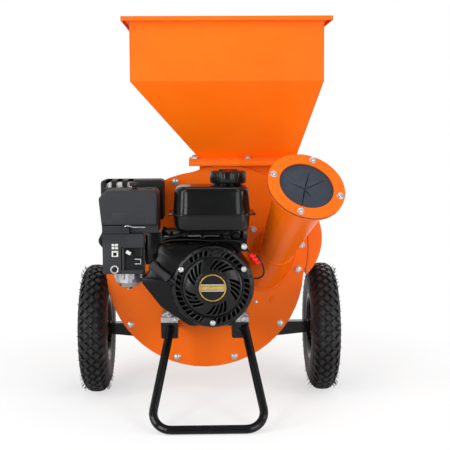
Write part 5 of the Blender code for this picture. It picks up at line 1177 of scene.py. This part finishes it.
def make_recoil_shell():
    """The cover's face as one slotted sheet, its slots leaning as they run outwards."""
    radii = [0.0, 0.02, 0.0335, 0.035, 0.036, 0.0385, 0.0405, SWIRL_IN, 0.046, 0.0495, 0.053, 0.0565, 0.06,
             0.0635, 0.0665, SWIRL_OUT, 0.0705, 0.0725, 0.0738, 0.0748, 0.076, 0.0772, BAND_IN, 0.0825,
             0.0865, BAND_OUT, 0.0925, 0.0945, 0.096, 0.0975, 0.099, 0.1005, 0.1014, 0.102, 0.1025, 0.1028,
             0.1029]
    bm = bmesh.new()
    grid = []
    for radius in radii:
        swirl = SWIRL_LEAN * (min(max(radius, SWIRL_IN), SWIRL_OUT) - (SWIRL_IN + SWIRL_OUT) / 2)
        swirl = swirl / (SWIRL_OUT - SWIRL_IN) + 0.06 * max(0.0, radius - BAND_IN) / 0.012
        depth = COVER_BACK if radius == radii[-1] else read_off(COVER_DEPTHS, radius)
        grid.append([bm.verts.new(polar(max(radius, 0.0002), turn - swirl, depth))
                     for turn in turns(COLUMNS)])
    for (low, inner), (high, outer) in zip(zip(radii, grid), zip(radii[1:], grid[1:])):
        for column in range(COLUMNS):
            if not slotted((low + high) / 2, column):
                n = (column + 1) % COLUMNS
                bm.faces.new((inner[column], inner[n], outer[n], outer[column]))
    loose = [vert for vert in bm.verts if not vert.link_faces]
    bmesh.ops.delete(bm, geom=loose, context="VERTS")
    cover = piece("recoil_shell", bm, "cover", ENGINE, 32, ["recoil_cover"])
    wall = cover.modifiers.new("wall", "SOLIDIFY")
    wall.thickness = COVER_WALL
    wall.offset = -1.0
    wall.use_even_offset = False


def add_box_at(bm, at, angle, half):
    """A small block turned about the crank axis."""
    turn = Matrix.Translation(at) @ Matrix.Rotation(-angle, 4, "Y")
    for vert in bmesh.ops.create_cube(bm, size=2.0)["verts"]:
        vert.co = turn @ Vector([vert.co[i] * half[i] for i in range(3)])


def make_recoil_trim():
    """The cover's bolt bosses, teeth, notch and raised rings, and a starter plate behind it, near black as
    painted shade in the slots.
    """
    stops = [math.radians(stop) for stop in COVER_STOPS]
    bm = bmesh.new()
    for stop in stops:
        boss = [(0, 0), (0.0082, 0), (0.0082, 0.0035), (0.007, 0.0046), (0, 0.0046)]
        add_lathe(bm, boss, polar(COVER_BOLT_R, stop, -0.286), FORWARD, 24)
    for angle in turns(24):
        add_box_at(bm, polar(0.0977, angle, -0.2836), angle, (0.0022, 0.0022, 0.003))
    notch = [(-0.014, 0.4405), (0.014, 0.4405), (0.011, 0.435), (0.006, 0.4325), (-0.006, 0.4325),
             (-0.011, 0.435)]
    add_prism(bm, notch, -0.288, -0.286, 0.0006, 1)
    piece("recoil_bosses", bm, "cover", ENGINE, 32)
    bolt_row("recoil_bolts", [polar(COVER_BOLT_R, stop, -0.2904) for stop in stops], FORWARD, ENGINE, 0.72)
    bm = bmesh.new()
    outer = [(0.074, 0), (0.0764, 0), (0.0768, 0.0014), (0.0756, 0.0026), (0.0744, 0.0014)]
    inner = [(0.0372, 0), (0.04, 0), (0.0402, 0.001), (0.0388, 0.0018), (0.0374, 0.001)]
    add_lathe(bm, outer, polar(0, 0, -0.2866), FORWARD, 120, True)
    add_lathe(bm, inner, polar(0, 0, -0.2972), FORWARD, 96, True)
    piece("recoil_rings", bm, "cover", ENGINE, 60)
    # the plate behind the slots is near black: painted shade seen through the cover's slots
    bm = bmesh.new()
    plate = [(0.013, 0), (0.099, 0), (0.099, 0.001), (0.013, 0.001)]
    add_lathe(bm, plate, polar(0, 0, -0.27), FORWARD, 72, True)
    for angle in turns(24):
        add_box_at(bm, polar(0.068, angle, -0.2735), angle, (0.026, 0.003, 0.001))
    piece("starter_back", bm, "pit", ENGINE, 35)


BADGE_R = 0.0335
BADGE_FOOT = COVER_FACE - 0.0003
BADGE_REACH = 0.03          # half the bars' length at the badge's middle


def add_badge_bar(bm, low, high, depth):
    """A bar across the badge whose ends follow its round."""
    heights = [low + (high - low) * k / 4 for k in range(5)]
    outline = [(math.sqrt(BADGE_REACH ** 2 - z ** 2), CRANK_H + z) for z in heights]
    outline += [(-x, z) for x, z in outline[::-1]]
    add_prism(bm, outline, BADGE_FOOT - depth, BADGE_FOOT - 0.0018, 0.0002, 1)


def make_badge():
    """Round badge: gilt ring, black enamel field and a plain gilt bar between two bright lines."""
    body = BODY["recoil_badge"]
    at = polar(0, 0, BADGE_FOOT)
    bm = bmesh.new()
    add_lathe(bm, [(0, 0), (BADGE_R, 0), (BADGE_R, 0.0022), (BADGE_R - 0.0009, 0.003), (0.0312, 0.003),
                   (0.0306, 0.002), (0, 0.002)], at, FORWARD, 96)
    piece("badge_rim", bm, "gold", body, 30, ["recoil_badge"])
    bm = bmesh.new()
    add_lathe(bm, [(0, 0.0016), (0.0305, 0.0016), (0.0305, 0.0022), (0, 0.0023)], at, FORWARD, 96)
    piece("badge_field", bm, "enamel", body, 30)
    for name, low, high, depth, finish in (("badge_band", -0.005, 0.005, 0.0027, "gold"),
                                           ("badge_line_1", 0.006, 0.0088, 0.0026, "bright"),
                                           ("badge_line_2", -0.0088, -0.006, 0.0026, "bright")):
        bm = bmesh.new()
        add_badge_bar(bm, low, high, depth)
        piece(name, bm, finish, body, 30)


GRIP_AT = spot(-0.129, -0.2815, 0.391)
GRIP_TILT = math.radians(140)
GRIP_ALONG = Vector((math.cos(GRIP_TILT), 0, math.sin(GRIP_TILT)))
GRIP_LONG = 0.058
GRIP_SHAPE = [  # along the handle, radius
    (-0.029, 0.0062), (-0.0284, 0.0082), (-0.026, 0.0098), (-0.0205, 0.01), (-0.012, 0.0088),
    (-0.002, 0.0082), (0.008, 0.009), (0.016, 0.0104), (0.0225, 0.0113), (0.0268, 0.0112), (0.0286, 0.0098),
    (0.029, 0.007),
]
ROPE_R = 0.0016
ROPE_LONG = 0.088


def make_grip():
    """Starter handle with a waist and flared ends, its rope and the guide in the cover."""
    body = BODY["starter_grip"]
    bm = bmesh.new()
    add_pipe(bm, [GRIP_AT + GRIP_ALONG * along for along, _ in GRIP_SHAPE],
             [radius for _, radius in GRIP_SHAPE], 28)
    rib = [(0.007, -0.0012), (0.0088, -0.0007), (0.0092, 0), (0.0088, 0.0007), (0.007, 0.0012)]
    for along in (-0.0125, -0.0065, -0.0005, 0.0055):
        add_lathe(bm, rib, GRIP_AT + GRIP_ALONG * along, GRIP_ALONG, 28, True)
    piece("starter_handle", bm, "grained", body, 40, ["starter_grip"])
    bm = bmesh.new()
    start = GRIP_AT - GRIP_ALONG * (GRIP_LONG / 2 - 0.002)
    add_pipe(bm, [start, start - GRIP_ALONG * 0.03, start - GRIP_ALONG * ROPE_LONG], ROPE_R, 10)
    piece("starter_cord", bm, "rope", body, 60)
    bm = bmesh.new()
    bush = [(0.0024, 0), (0.0095, 0), (0.0108, 0.0014), (0.0104, 0.005), (0.0085, 0.016), (0.0024, 0.016)]
    add_lathe(bm, bush, GRIP_AT - GRIP_ALONG * (GRIP_LONG / 2 + 0.0022), -GRIP_ALONG, 32, True)
    piece("rope_guide_bush", bm, "shroud", ENGINE, 35)


# Fuel tank

TANK = {"left": -0.097, "right": 0.097, "front": -0.275, "back": -0.12}
TANK_SEAM = 0.528
TANK_TOP = 0.598
TANK_LEVELS = [  # height it is measured from, with rows of the way up, inset and corner radius
    (0.486, [(0.0, 0.0175, 0.022), (0.0012, 0.0125, 0.028), (0.0045, 0.0085, 0.032), (0.011, 0.0062, 0.034),
        (0.026, 0.0045, 0.035)]),
    (TANK_SEAM, [(-0.0022, 0.0035, 0.036), (-0.0018, -0.0022, 0.03), (0.0018, -0.0022, 0.03),
        (0.0022, 0.0028, 0.036), (0.02, 0.0035, 0.036), (0.042, 0.005, 0.035)]),
    (TANK_TOP, [(-0.014, 0.0058, 0.034), (-0.0085, 0.0074, 0.033), (-0.0045, 0.0102, 0.031),
        (-0.0018, 0.015, 0.027), (-0.0004, 0.023, 0.022), (0.0, 0.04, 0.014)]),
]
CAP_X, CAP_Y = 0.042, -0.195
CAP_UNDER = TANK_TOP + 0.0003
CAP_SCALE = 1.09
CAP_RIB = 0.0004
CAP_RINGS = [  # up, radius, share of the ribs' depth
    (0.0, 0.034, 0), (0.004, 0.0345, 0), (0.0046, 0.0412, 0.4), (0.0066, 0.042, 1), (0.029, 0.042, 1),
    (0.0322, 0.0412, 0.6), (0.0346, 0.0385, 0), (0.0356, 0.0345, 0), (0.035, 0.0325, 0), (0.0346, 0.03, 0),
    (0.036, 0.02, 0), (0.0366, 0.008, 0),
]
CAP_TOP = 0.0368


def rounded_ring(inset, z, corner, bulge):
    """The tank's outline drawn in by inset: a rectangle with round corners and sides that bow outwards."""
    left, right = TANK["left"] + inset, TANK["right"] - inset
    front, back = TANK["front"] + inset, TANK["back"] - inset
    middle_x, middle_y = (left + right) / 2, (front + back) / 2
    made = []
    for x, y, start in ((right - corner, back - corner, 0), (left + corner, back - corner, 90),
                        (left + corner, front + corner, 180), (right - corner, front + corner, 270)):
        for k in range(9):
            angle = math.radians(start + 90 * k / 8)
            px, py = x + corner * math.cos(angle), y + corner * math.sin(angle)
            bow_y = bulge * max(0.0, 1 - ((px - middle_x) / ((right - left) / 2)) ** 2)
            bow_x = bulge * max(0.0, 1 - ((py - middle_y) / ((back - front) / 2)) ** 2)
            if abs(py - middle_y) > (back - front) * 0.3:
                py += math.copysign(bow_y, py - middle_y)
            if abs(px - middle_x) > (right - left) * 0.3:
                px += math.copysign(bow_x, px - middle_x)
            made.append(spot(px, py, z))
    return made


def make_tank():
    """Welded plastic tank: two bowed shells, the seam flange with its ears, and the filler neck."""
    rings = []
    for base, rows in TANK_LEVELS:
        for up, inset, corner in rows:
            rings.append(rounded_ring(inset, base + up, corner, 0.0018 if inset > 0 else 0.0008))
    bm = bmesh.new()
    add_skin(bm, rings)
    for low, high in ((TANK["left"] - 0.0115, TANK["left"]), (TANK["right"], TANK["right"] + 0.0115)):
        add_box(bm, (low, -0.262, TANK_SEAM - 0.0014), (high, -0.128, TANK_SEAM + 0.0014), 0.001)
    neck = [(0, 0), (0.03, 0), (0.03, 0.0035), (0.028, 0.006), (0.027, 0.0075), (0, 0.0075)]
    add_lathe(bm, neck, spot(CAP_X, CAP_Y, TANK_TOP - 0.0025), UP)
    piece("tank_shells", bm, "tank", BODY["fuel_tank"], 50, ["fuel_tank"])


def make_cap():
    """Screw cap with a ribbed skirt, a domed top and a grip bar."""
    rings = []
    for up, radius, rib in CAP_RINGS:
        ring = []
        for k, angle in enumerate(turns(120)):
            reach = radius * CAP_SCALE + CAP_RIB * rib * (1 if k % 5 < 3 else -0.2)
            ring.append(spot(CAP_X + reach * math.cos(angle), CAP_Y + reach * math.sin(angle),
                             CAP_UNDER + up))
        rings.append(ring)
    rings.append([spot(CAP_X, CAP_Y, CAP_UNDER + CAP_TOP)])
    bm = bmesh.new()
    add_skin(bm, rings)
    add_box(bm, (CAP_X - 0.024, CAP_Y - 0.0045, CAP_UNDER + 0.034),
            (CAP_X + 0.024, CAP_Y + 0.0045, CAP_UNDER + 0.0388), 0.0016, 3)
    piece("tank_cap", bm, "tank", BODY["fuel_cap"], 30, ["fuel_cap"])


# Air filter

FILTER = {"left": -0.284, "right": -0.132, "front": -0.245, "back": -0.1503, "low": 0.481, "high": 0.59}
FILTER_LIP = 0.4985
FILTER_STEPS = [  # inset, and how far back from the front face or from the back one
    (0.0012, FILTER["back"]), (0.0, FILTER["back"] - 0.012), (0.0006, FILTER["front"] + 0.03),
    (0.0024, FILTER["front"] + 0.006), (0.0042, FILTER["front"] + 0.002),
    (0.0075, FILTER["front"] + 0.0001), (0.0105, FILTER["front"]),
]
FILTER_CHAMFER = 0.021
SCREW_X, SCREW_Y = -0.195, -0.19
SCREW_RINGS = [(0.5903, 0.006, 0), (0.5953, 0.0062, 0), (0.5963, 0.01, 0.6), (0.598, 0.0114, 1),
               (0.6035, 0.0114, 1), (0.6056, 0.0102, 0.7), (0.6063, 0.007, 0)]


def filter_ring(inset, y):
    left, right = FILTER["left"] + inset, FILTER["right"] - inset
    low, high = FILTER_LIP + inset, FILTER["high"] - inset
    return [spot(x, y, z) for x, z in ((left + 0.0075, low), (right - 0.002, low), (right, high - 0.008),
                                       (right - 0.008, high), (left + FILTER_CHAMFER, high),
                                       (left + 0.001, high - FILTER_CHAMFER))]


def make_filter():
    """Air filter cover: drafted box with a framed face, ribs and a wire clip."""
    body = BODY["air_filter_cover"]
    front, back, low = FILTER["front"], FILTER["back"], FILTER["low"]
    bm = bmesh.new()
    add_skin(bm, [filter_ring(inset, y) for inset, y in FILTER_STEPS])
    cover = piece("filter_cover_shell", bm, "grained", body, 50, ["air_filter_cover"])
    soft = cover.modifiers.new("edges", "BEVEL")
    soft.width = 0.003
    soft.segments = 3
    soft.limit_method = "ANGLE"
    soft.angle_limit = math.radians(28)
    bm = bmesh.new()
    add_prism(bm, [(-0.248, 0.509), (-0.166, 0.509), (-0.166, 0.536), (-0.248, 0.536)], front - 0.0006,
              front + 0.0012, 0.0005)
    add_box(bm, (-0.273, front + 0.0012, low), (-0.206, back, FILTER_LIP + 0.002), 0.0012)
    add_box(bm, (-0.207, front + 0.015, low), (-0.134, back, FILTER_LIP + 0.002), 0.0012)
    for k in range(4):
        z = low + 0.002 + 0.0042 * k
        add_box(bm, (-0.2722, front + 0.0002, z), (-0.2075, front + 0.003, z + 0.0022), 0.0005, 1)
    for x in (-0.262, -0.158):
        add_box(bm, (x - 0.009, -0.206, 0.5885), (x + 0.009, -0.156, 0.5912), 0.001)
    for k in range(7):
        x = -0.278 + 0.0225 * k
        add_box(bm, (x, -0.168, 0.588), (x + 0.0035, -0.1515, 0.5915), 0.0008, 1)
    piece("filter_cover_trim", bm, "grained", body, 40)
    wire = spots((-0.217, -0.2462, 0.4985), (-0.21, -0.2468, 0.501), (-0.196, -0.2466, 0.4978),
                 (-0.18, -0.2464, 0.4972), (-0.165, -0.2462, 0.4968))
    bm = bmesh.new()
    add_pipe(bm, through(wire), 0.0014, 8)
    piece("filter_clip", bm, "bright", body, 60)


def make_wing_screw():
    """Six-lobed knob on the filter cover."""
    rings = []
    for z, radius, lobe in SCREW_RINGS:
        ring = []
        for angle in turns(60):
            reach = radius + 0.0011 * lobe * math.cos(6 * angle)
            ring.append(spot(SCREW_X + reach * math.cos(angle), SCREW_Y + reach * math.sin(angle), z))
        rings.append(ring)
    bm = bmesh.new()
    add_skin(bm, rings)
    piece("filter_wing_screw", bm, "grained", BODY["filter_knob"], 35, ["filter_knob"])


# Control panel

PANEL_LEFT = -0.273
PANEL_SPLIT = -0.2075       # right edge of its ribbed top
PANEL_FACE = -0.245
CHOKE_X, CHOKE_Z = -0.198, 0.428
VALVE_X, VALVE_Z = -0.19, 0.402
VALVE_REACH = 0.011
VALVE_TURN = math.radians(60)


def make_panel_trim():
    """Details on the control panel: ribbed field, plain marks, frames and bezels of its controls."""
    body = BODY["control_panel"]
    left, front = PANEL_LEFT, PANEL_FACE
    bm = bmesh.new()
    for k in range(4):
        z = 0.4622 + 0.0042 * k
        add_box(bm, (left + 0.0008, front - 0.0008, z), (PANEL_SPLIT, front + 0.001, z + 0.0022), 0.0005, 1)
    add_prism(bm, [(left + 0.001, 0.38), (-0.2265, 0.38), (-0.2265, 0.4595), (left + 0.001, 0.4595)],
              front - 0.001, front + 0.001, 0.0008)
    add_box(bm, (-0.224, front - 0.0018, 0.39), (-0.219, front + 0.004, 0.456), 0.001)
    add_box(bm, (-0.224, front - 0.0018, 0.446), (-0.17, front + 0.004, 0.45), 0.001)
    add_box(bm, (-0.178, front + 0.0005, 0.4245), (-0.1745, front + 0.008, 0.446), 0.0008, 1)
    for k in range(3):
        x = 0.0125 * k
        add_box(bm, (-0.215 + x, front - 0.0006, 0.4505), (-0.209 + x, front + 0.002, 0.476), 0.0008, 1)
    piece("panel_ribs", bm, "grained", body, 35)
    bm = bmesh.new()
    for x in (-0.2495, -0.241):
        for z in (0.4425, 0.45):
            add_box(bm, (x, front - 0.0019, z), (x + 0.0072, front - 0.0008, z + 0.006), 0.0004, 1)
    add_prism(bm, [(-0.2498, 0.4235), (-0.2335, 0.4235), (-0.2335, 0.4385), (-0.2498, 0.4385)],
              front - 0.0019, front - 0.0008, 0.0004, 1)
    piece("panel_marks", bm, "pale", body, 35)
    bm = bmesh.new()
    add_box(bm, (-0.2458, front - 0.0024, 0.4262), (-0.2375, front - 0.0015, 0.4345), 0.0003, 1)
    bezel = [(0.0054, 0), (0.0085, 0), (0.0085, 0.0022), (0.0075, 0.0032), (0.0054, 0.0032)]
    for x, z in ((CHOKE_X, CHOKE_Z), (VALVE_X, VALVE_Z)):
        add_lathe(bm, bezel, spot(x, front + 0.0098, z), FORWARD, 28, True)
    add_box(bm, (-0.216, front + 0.007, 0.392), (-0.17, front + 0.0098, 0.444), 0.0005, 1)
    piece("lever_bezels", bm, "enamel", body, 35)


def add_arm(bm, start, end, half, y_front, y_back, bevel):
    """A flat bar with square ends between two (x, z) points."""
    start, end = Vector(start), Vector(end)
    side = (end - start).normalized().orthogonal() * half
    corners = [start + side, end + side, end - side, start - side]
    add_prism(bm, [(corner.x, corner.y) for corner in corners], y_front, y_back, bevel)


def make_levers():
    """Choke lever, the frame on the fuel lever's end and the stop switch."""
    front = PANEL_FACE
    body = BODY["choke_lever"]
    bm = bmesh.new()
    add_arm(bm, (-0.2135, 0.437), (-0.2025, 0.4306), 0.0042, front - 0.0045, front + 0.0006, 0.0014)
    piece("choke_knob", bm, "pale", body, 35)
    bm = bmesh.new()
    add_arm(bm, (-0.2125, 0.4364), (-0.1965, 0.4271), 0.0054, front - 0.001, front + 0.0012, 0.0006)
    add_lathe(bm, [(0, 0), (0.0044, 0), (0.0038, 0.003), (0, 0.0034)],
              spot(CHOKE_X, front + 0.001, CHOKE_Z), FORWARD, 20)
    piece("choke_arm", bm, "enamel", body, 35)
    middle = Vector((VALVE_X + VALVE_REACH * math.cos(VALVE_TURN), 0,
                     VALVE_Z + VALVE_REACH * math.sin(VALVE_TURN)))
    bm = bmesh.new()
    for left, low, high in ((-0.008, 0.0045, 0.0072), (-0.008, -0.007, -0.0045), (0.0055, -0.005, 0.005)):
        add_box(bm, (middle.x + left, front - 0.0044, middle.z + low),
                (middle.x + 0.008, front + 0.0008, middle.z + high), 0.0007)
    piece("fuel_lever_end", bm, "silver", BODY["fuel_lever"], 35)
    body = BODY["engine_switch"]
    at = spot(-0.243, front, 0.392)
    bm = bmesh.new()
    add_lathe(bm, [(0, 0.0003), (0.0106, 0.0003), (0.0106, 0.004), (0.0092, 0.0052), (0.0074, 0.005),
                   (0, 0.005)], at, FORWARD, 36)
    piece("switch_ring", bm, "zinc", body, 30, ["engine_switch"])
    bm = bmesh.new()
    add_lathe(bm, [(0, 0.0046), (0.007, 0.0046), (0.0066, 0.0072), (0, 0.0076)], at, FORWARD, 28)
    add_box(bm, (-0.0018, -0.0096, -0.0064), (0.0018, -0.0064, 0.0064), 0.0008, 2, at)
    add_pipe(bm, [at + Vector((0, 0.0002, 0)), at + Vector((0, 0.012, 0))], 0.004, 16)
    piece("switch_knob", bm, "enamel", body, 30)


# Governor, cowl, leads and pipes

ROD_Y = -0.205
ROD = [(-0.144, 0.4585), (-0.1446, 0.466), (-0.1425, 0.4688), (-0.1, 0.4698), (-0.06, 0.4705),
       (-0.02, 0.4697), (0.014, 0.469), (0.0176, 0.4705)]
SPRING_R = 0.0024
SPRING_LONG = 0.034
SPRING_STEPS = 120          # ten to a turn
LEAD = [(0.094, -0.26, 0.432), (0.084, -0.256, 0.444), (0.068, -0.25, 0.459), (0.04, -0.244, 0.4625),
        (0.0, -0.24, 0.4605), (-0.05, -0.236, 0.464), (-0.1, -0.228, 0.462), (-0.122, -0.222, 0.456)]
SHORT_LEAD = [(0.098, -0.256, 0.4275), (0.1115, -0.252, 0.4235), (0.1215, -0.25, 0.409),
              (0.128, -0.248, 0.391), (0.128, -0.24, 0.375), (0.119, -0.224, 0.364), (0.107, -0.205, 0.36)]
FUEL_PIPE = [(-0.06, -0.2, 0.48), (-0.066, -0.206, 0.476), (-0.095, -0.214, 0.47), (-0.13, -0.214, 0.462),
             (-0.165, -0.205, 0.448), (-0.184, -0.19, 0.438)]


def make_governor():
    """Throttle rod with its cranked end, a spring wound along it and the arms."""
    body = BODY["governor_rod"]
    bm = bmesh.new()
    add_pipe(bm, [spot(x, ROD_Y, z) for x, z in ROD], 0.0011, 8)
    add_pipe(bm, spots((-0.136, ROD_Y, 0.458), (-0.1362, ROD_Y, 0.4692)), 0.0009, 8)
    coil = []
    for k in range(SPRING_STEPS + 1):
        angle = 2 * math.pi * k / 10
        coil.append(spot(-0.06 + SPRING_LONG * k / SPRING_STEPS, ROD_Y + SPRING_R * math.cos(angle),
                         0.47 + SPRING_R * math.sin(angle)))
    add_pipe(bm, coil, 0.0005, 6)
    piece("governor_linkage", bm, "bright", body, 60, ["governor_rod"])
    bm = bmesh.new()
    add_box(bm, (-0.03, -0.208, 0.4563), (-0.018, -0.202, 0.4728), 0.001)
    add_box(bm, (-0.067, -0.2078, 0.4668), (-0.0615, -0.2022, 0.4725), 0.0008)
    piece("governor_arm", bm, "black_coat", body, 35)


def make_cowl():
    """Black sheet round the block under the tank: flange, ribs, rail, plug and screws."""
    bm = bmesh.new()
    add_box(bm, (-0.119, -0.2, 0.4806), (0.091, -0.1782, 0.4838), 0.0012)
    add_box(bm, (-0.119, -0.1812, 0.4568), (0.091, -0.1782, 0.483), 0.001)
    for x in (-0.108, -0.084, 0.028, 0.052, 0.078):
        add_box(bm, (x, -0.199, 0.4566), (x + 0.003, -0.1786, 0.482), 0.0008, 1)
    add_pipe(bm, spots((-0.11, -0.214, 0.46), (-0.06, -0.217, 0.4598), (0.04, -0.217, 0.4602),
                       (0.086, -0.212, 0.456)), 0.003)
    add_lathe(bm, [(0, 0), (0.009, 0), (0.009, 0.012), (0.007, 0.015), (0, 0.015)],
              spot(0.062, -0.202, 0.47), FORWARD, 28)
    piece("tank_cowl", bm, "black_coat", ENGINE, 35)
    bm = bmesh.new()
    for x in (-0.072, 0.066):
        add_bolt(bm, spot(x, -0.199, 0.469), FORWARD, 0.3, 0.56)
    piece("cowl_screws", bm, "black_coat", ENGINE, 28)


def make_engine_trim():
    """Lead bracket with its bolt, the red connector, the ignition leads and the fuel pipe."""
    bm = bmesh.new()
    add_prism(bm, [(0.0705, 0.437), (0.0885, 0.437), (0.0885, 0.452), (0.0835, 0.4585), (0.0745, 0.4585),
                   (0.0705, 0.454)], -0.266, -0.264, 0.0006, 1)
    add_box(bm, (0.0705, -0.2655, 0.4375), (0.0735, -0.1815, 0.454), 0.0006, 1)
    piece("lead_bracket", bm, "black_coat", ENGINE, 30)
    bolt_row("bracket_bolt", spots((0.0792, -0.266, 0.449)), FORWARD, ENGINE, 0.8)
    line = straight(spot(0.0935, -0.262, 0.43), spot(0.1125, -0.26, 0.404), 24)
    radii = [0.0068 + 0.0028 * (k % 8 in (3, 4, 5)) - 0.0016 * (k in (0, 24)) for k in range(25)]
    bm = bmesh.new()
    add_pipe(bm, line, radii, 20, 0.8)
    for at in line[4::8]:
        add_box(bm, (0.002, -0.004, -0.0028), (0.011, 0.004, 0.0028), 0.0014, 2, at)
    piece("red_connector", bm, "red", ENGINE, 40)
    bm = bmesh.new()
    add_pipe(bm, through(spots(*SHORT_LEAD)), 0.002)
    add_pipe(bm, through(spots(*LEAD)), 0.0019)
    piece("ignition_leads", bm, "hose", ENGINE, 60)
    bm = bmesh.new()
    add_pipe(bm, through(spots(*FUEL_PIPE), 7), 0.004, 14)
    piece("fuel_pipe", bm, "hose", ENGINE, 60)


HOSE_START = spot(-0.272, -0.195, 0.4807)
HOSE_END = spot(-0.269, -0.175, 0.43)
HOSE_BOW = 0.012
BOWL_X, BOWL_Y = -0.213, -0.18


def make_breather():
    """Crankcase breather hose between the filter and the side of the panel."""
    line = []
    for k in range(17):
        share = k / 16
        ease = share * share * (3 - 2 * share)
        point = HOSE_START.lerp(HOSE_END, ease)
        point.x -= math.sin(math.pi * share) ** 2 * HOSE_BOW
        point.z = HOSE_START.z + (HOSE_END.z - HOSE_START.z) * share
        line.append(point)
    bm = bmesh.new()
    add_pipe(bm, line, 0.006, 20)
    collar = [(0.0058, -0.003), (0.007, -0.0028), (0.007, 0.0028), (0.0058, 0.003)]
    for end, up in ((line[0], -0.0035), (line[-1], 0.0035)):
        add_lathe(bm, collar, end + Vector((0, 0, up)), UP, 24, True)
    piece("breather_tube", bm, "hose", BODY["breather_hose"], 60, ["breather_hose"])


def make_carburettor_trim():
    """Float bowl's collar with its screws, and the drain and bowl plugs."""
    body = BODY["carburettor"]
    bm = bmesh.new()
    add_lathe(bm, [(0.0335, 0), (0.0358, 0.0004), (0.0358, 0.004), (0.0335, 0.0044)],
              spot(BOWL_X, BOWL_Y, 0.376), UP, 48, True)
    for degrees in (205, 250, 295, 340):
        angle = math.radians(degrees)
        at = spot(BOWL_X + 0.0345 * math.cos(angle), BOWL_Y + 0.0345 * math.sin(angle), 0.362)
        add_lathe(bm, [(0, 0), (0.004, 0), (0.0046, 0.004), (0.0046, 0.019), (0, 0.019)], at, UP, 16)
    piece("bowl_collar", bm, "silver", body, 35)
    bm = bmesh.new()
    add_hex(bm, spot(BOWL_X, BOWL_Y, 0.3402), DOWN, 0.0085, 0.007, 0.2)
    add_hex(bm, spot(-0.235, -0.2, 0.35), (0.5, -0.6, -0.5), 0.0048, 0.006, 0.2)
    piece("bowl_plug", bm, "bronze", body, 28)


# Engine feet and the hopper's seams

RAIL_X = (-0.112, 0.073)
FOOT_Y = (-0.136, -0.055)
FOOT_TOP = 0.25
RAIL_UNDER = 0.2313
RAIL_BOLT_Z = 0.213


def make_foot_bolts():
    """Bolts of the engine's feet, the stand and the rails, and the webs of the crankcase's feet."""
    feet = [(x, y) for x in RAIL_X for y in FOOT_Y]
    bolt_row("foot_bolts", [spot(x, y, FOOT_TOP) for x, y in feet], UP, MAIN)
    bolt_row("foot_nuts", [spot(x, y, RAIL_UNDER) for x, y in feet], DOWN, MAIN, 1.0, NUT_STUD)
    bolt_row("stand_bolts", [spot(x, -0.1543, RAIL_BOLT_Z) for x in RAIL_X], FORWARD, MAIN, 1.0, 0.0,
             "black_coat")
    bm = bmesh.new()
    for x, sign in zip(RAIL_X, (1, -1)):
        outer, inner = x - sign * 0.021, x + sign * 0.02
        outline = [(outer, 0.2495), (inner, 0.2495), (inner, 0.27), (x - sign * 0.004, 0.262),
                   (outer, 0.254)]
        add_prism(bm, outline[::sign], -0.13, -0.118, 0.0015)
    piece("foot_webs", bm, "silver", MAIN, 35)
    bolt_row("foot_side_bolts", [spot(x, -0.1502, 0.243) for x in (-0.0955, 0.079)], FORWARD, MAIN, 0.62)
    bolt_row("rail_bolts", [spot(x, -0.0043, RAIL_BOLT_Z) for x in RAIL_X], FORWARD, MAIN)


HOPPER_FOOT = [(-0.031, 0.008), (0.231, 0.008), (0.231, 0.142), (-0.031, 0.142)]
HOPPER_KNEE = [(-0.205, -0.135), (0.29, -0.135), (0.29, 0.273), (-0.205, 0.273)]
KNEE_Z = 0.86
FOLD_T = 0.0024
FOLD_LOW, FOLD_HIGH = 0.638, 0.651


def make_hopper_trim():
    """Weld seams up the hopper's corners and round its foot, and the folds round the neck's flange."""
    bm = bmesh.new()
    for (x0, y0), (x1, y1) in zip(HOPPER_FOOT, HOPPER_KNEE):
        add_bead(bm, straight(spot(x0, y0, 0.659), spot(x1, y1, KNEE_Z), 12), 0.0011)
        add_bead(bm, straight(spot(x1, y1, KNEE_Z), spot(x1, y1, 1.008), 8), 0.001)
    for (x0, y0), (x1, y1) in zip(HOPPER_FOOT, HOPPER_FOOT[1:] + HOPPER_FOOT[:1]):
        for z in (0.6578, 0.6508):
            add_bead(bm, straight(spot(x0, y0, z), spot(x1, y1, z), 10), 0.0016)
    piece("hopper_welds", bm, "orange", MAIN, 60)
    bm = bmesh.new()
    for left, right, front, back in ((-0.059, 0.251, -0.02, -0.02 + FOLD_T),
                                     (-0.059, 0.251, 0.168, 0.168 + FOLD_T),
                                     (-0.059, -0.059 + FOLD_T, -0.02, 0.17)):
        add_box(bm, (left, front, FOLD_LOW), (right, back, FOLD_HIGH), 0.0008)
    piece("neck_flange_folds", bm, "orange", MAIN, 35)


make_drum_bolts()
make_flap()
make_chute()
make_chute_trim()
for wheel in ("left", "right"):
    make_tyre(wheel)
    make_rim(wheel)
    make_axle_ends(wheel)
make_shroud()
make_recoil_shell()
make_recoil_trim()
make_badge()
make_grip()
make_tank()
make_cap()
make_filter()
make_wing_screw()
make_panel_trim()
make_levers()
make_governor()
make_cowl()
make_engine_trim()
make_foot_bolts()
make_breather()
make_carburettor_trim()
make_hopper_trim()
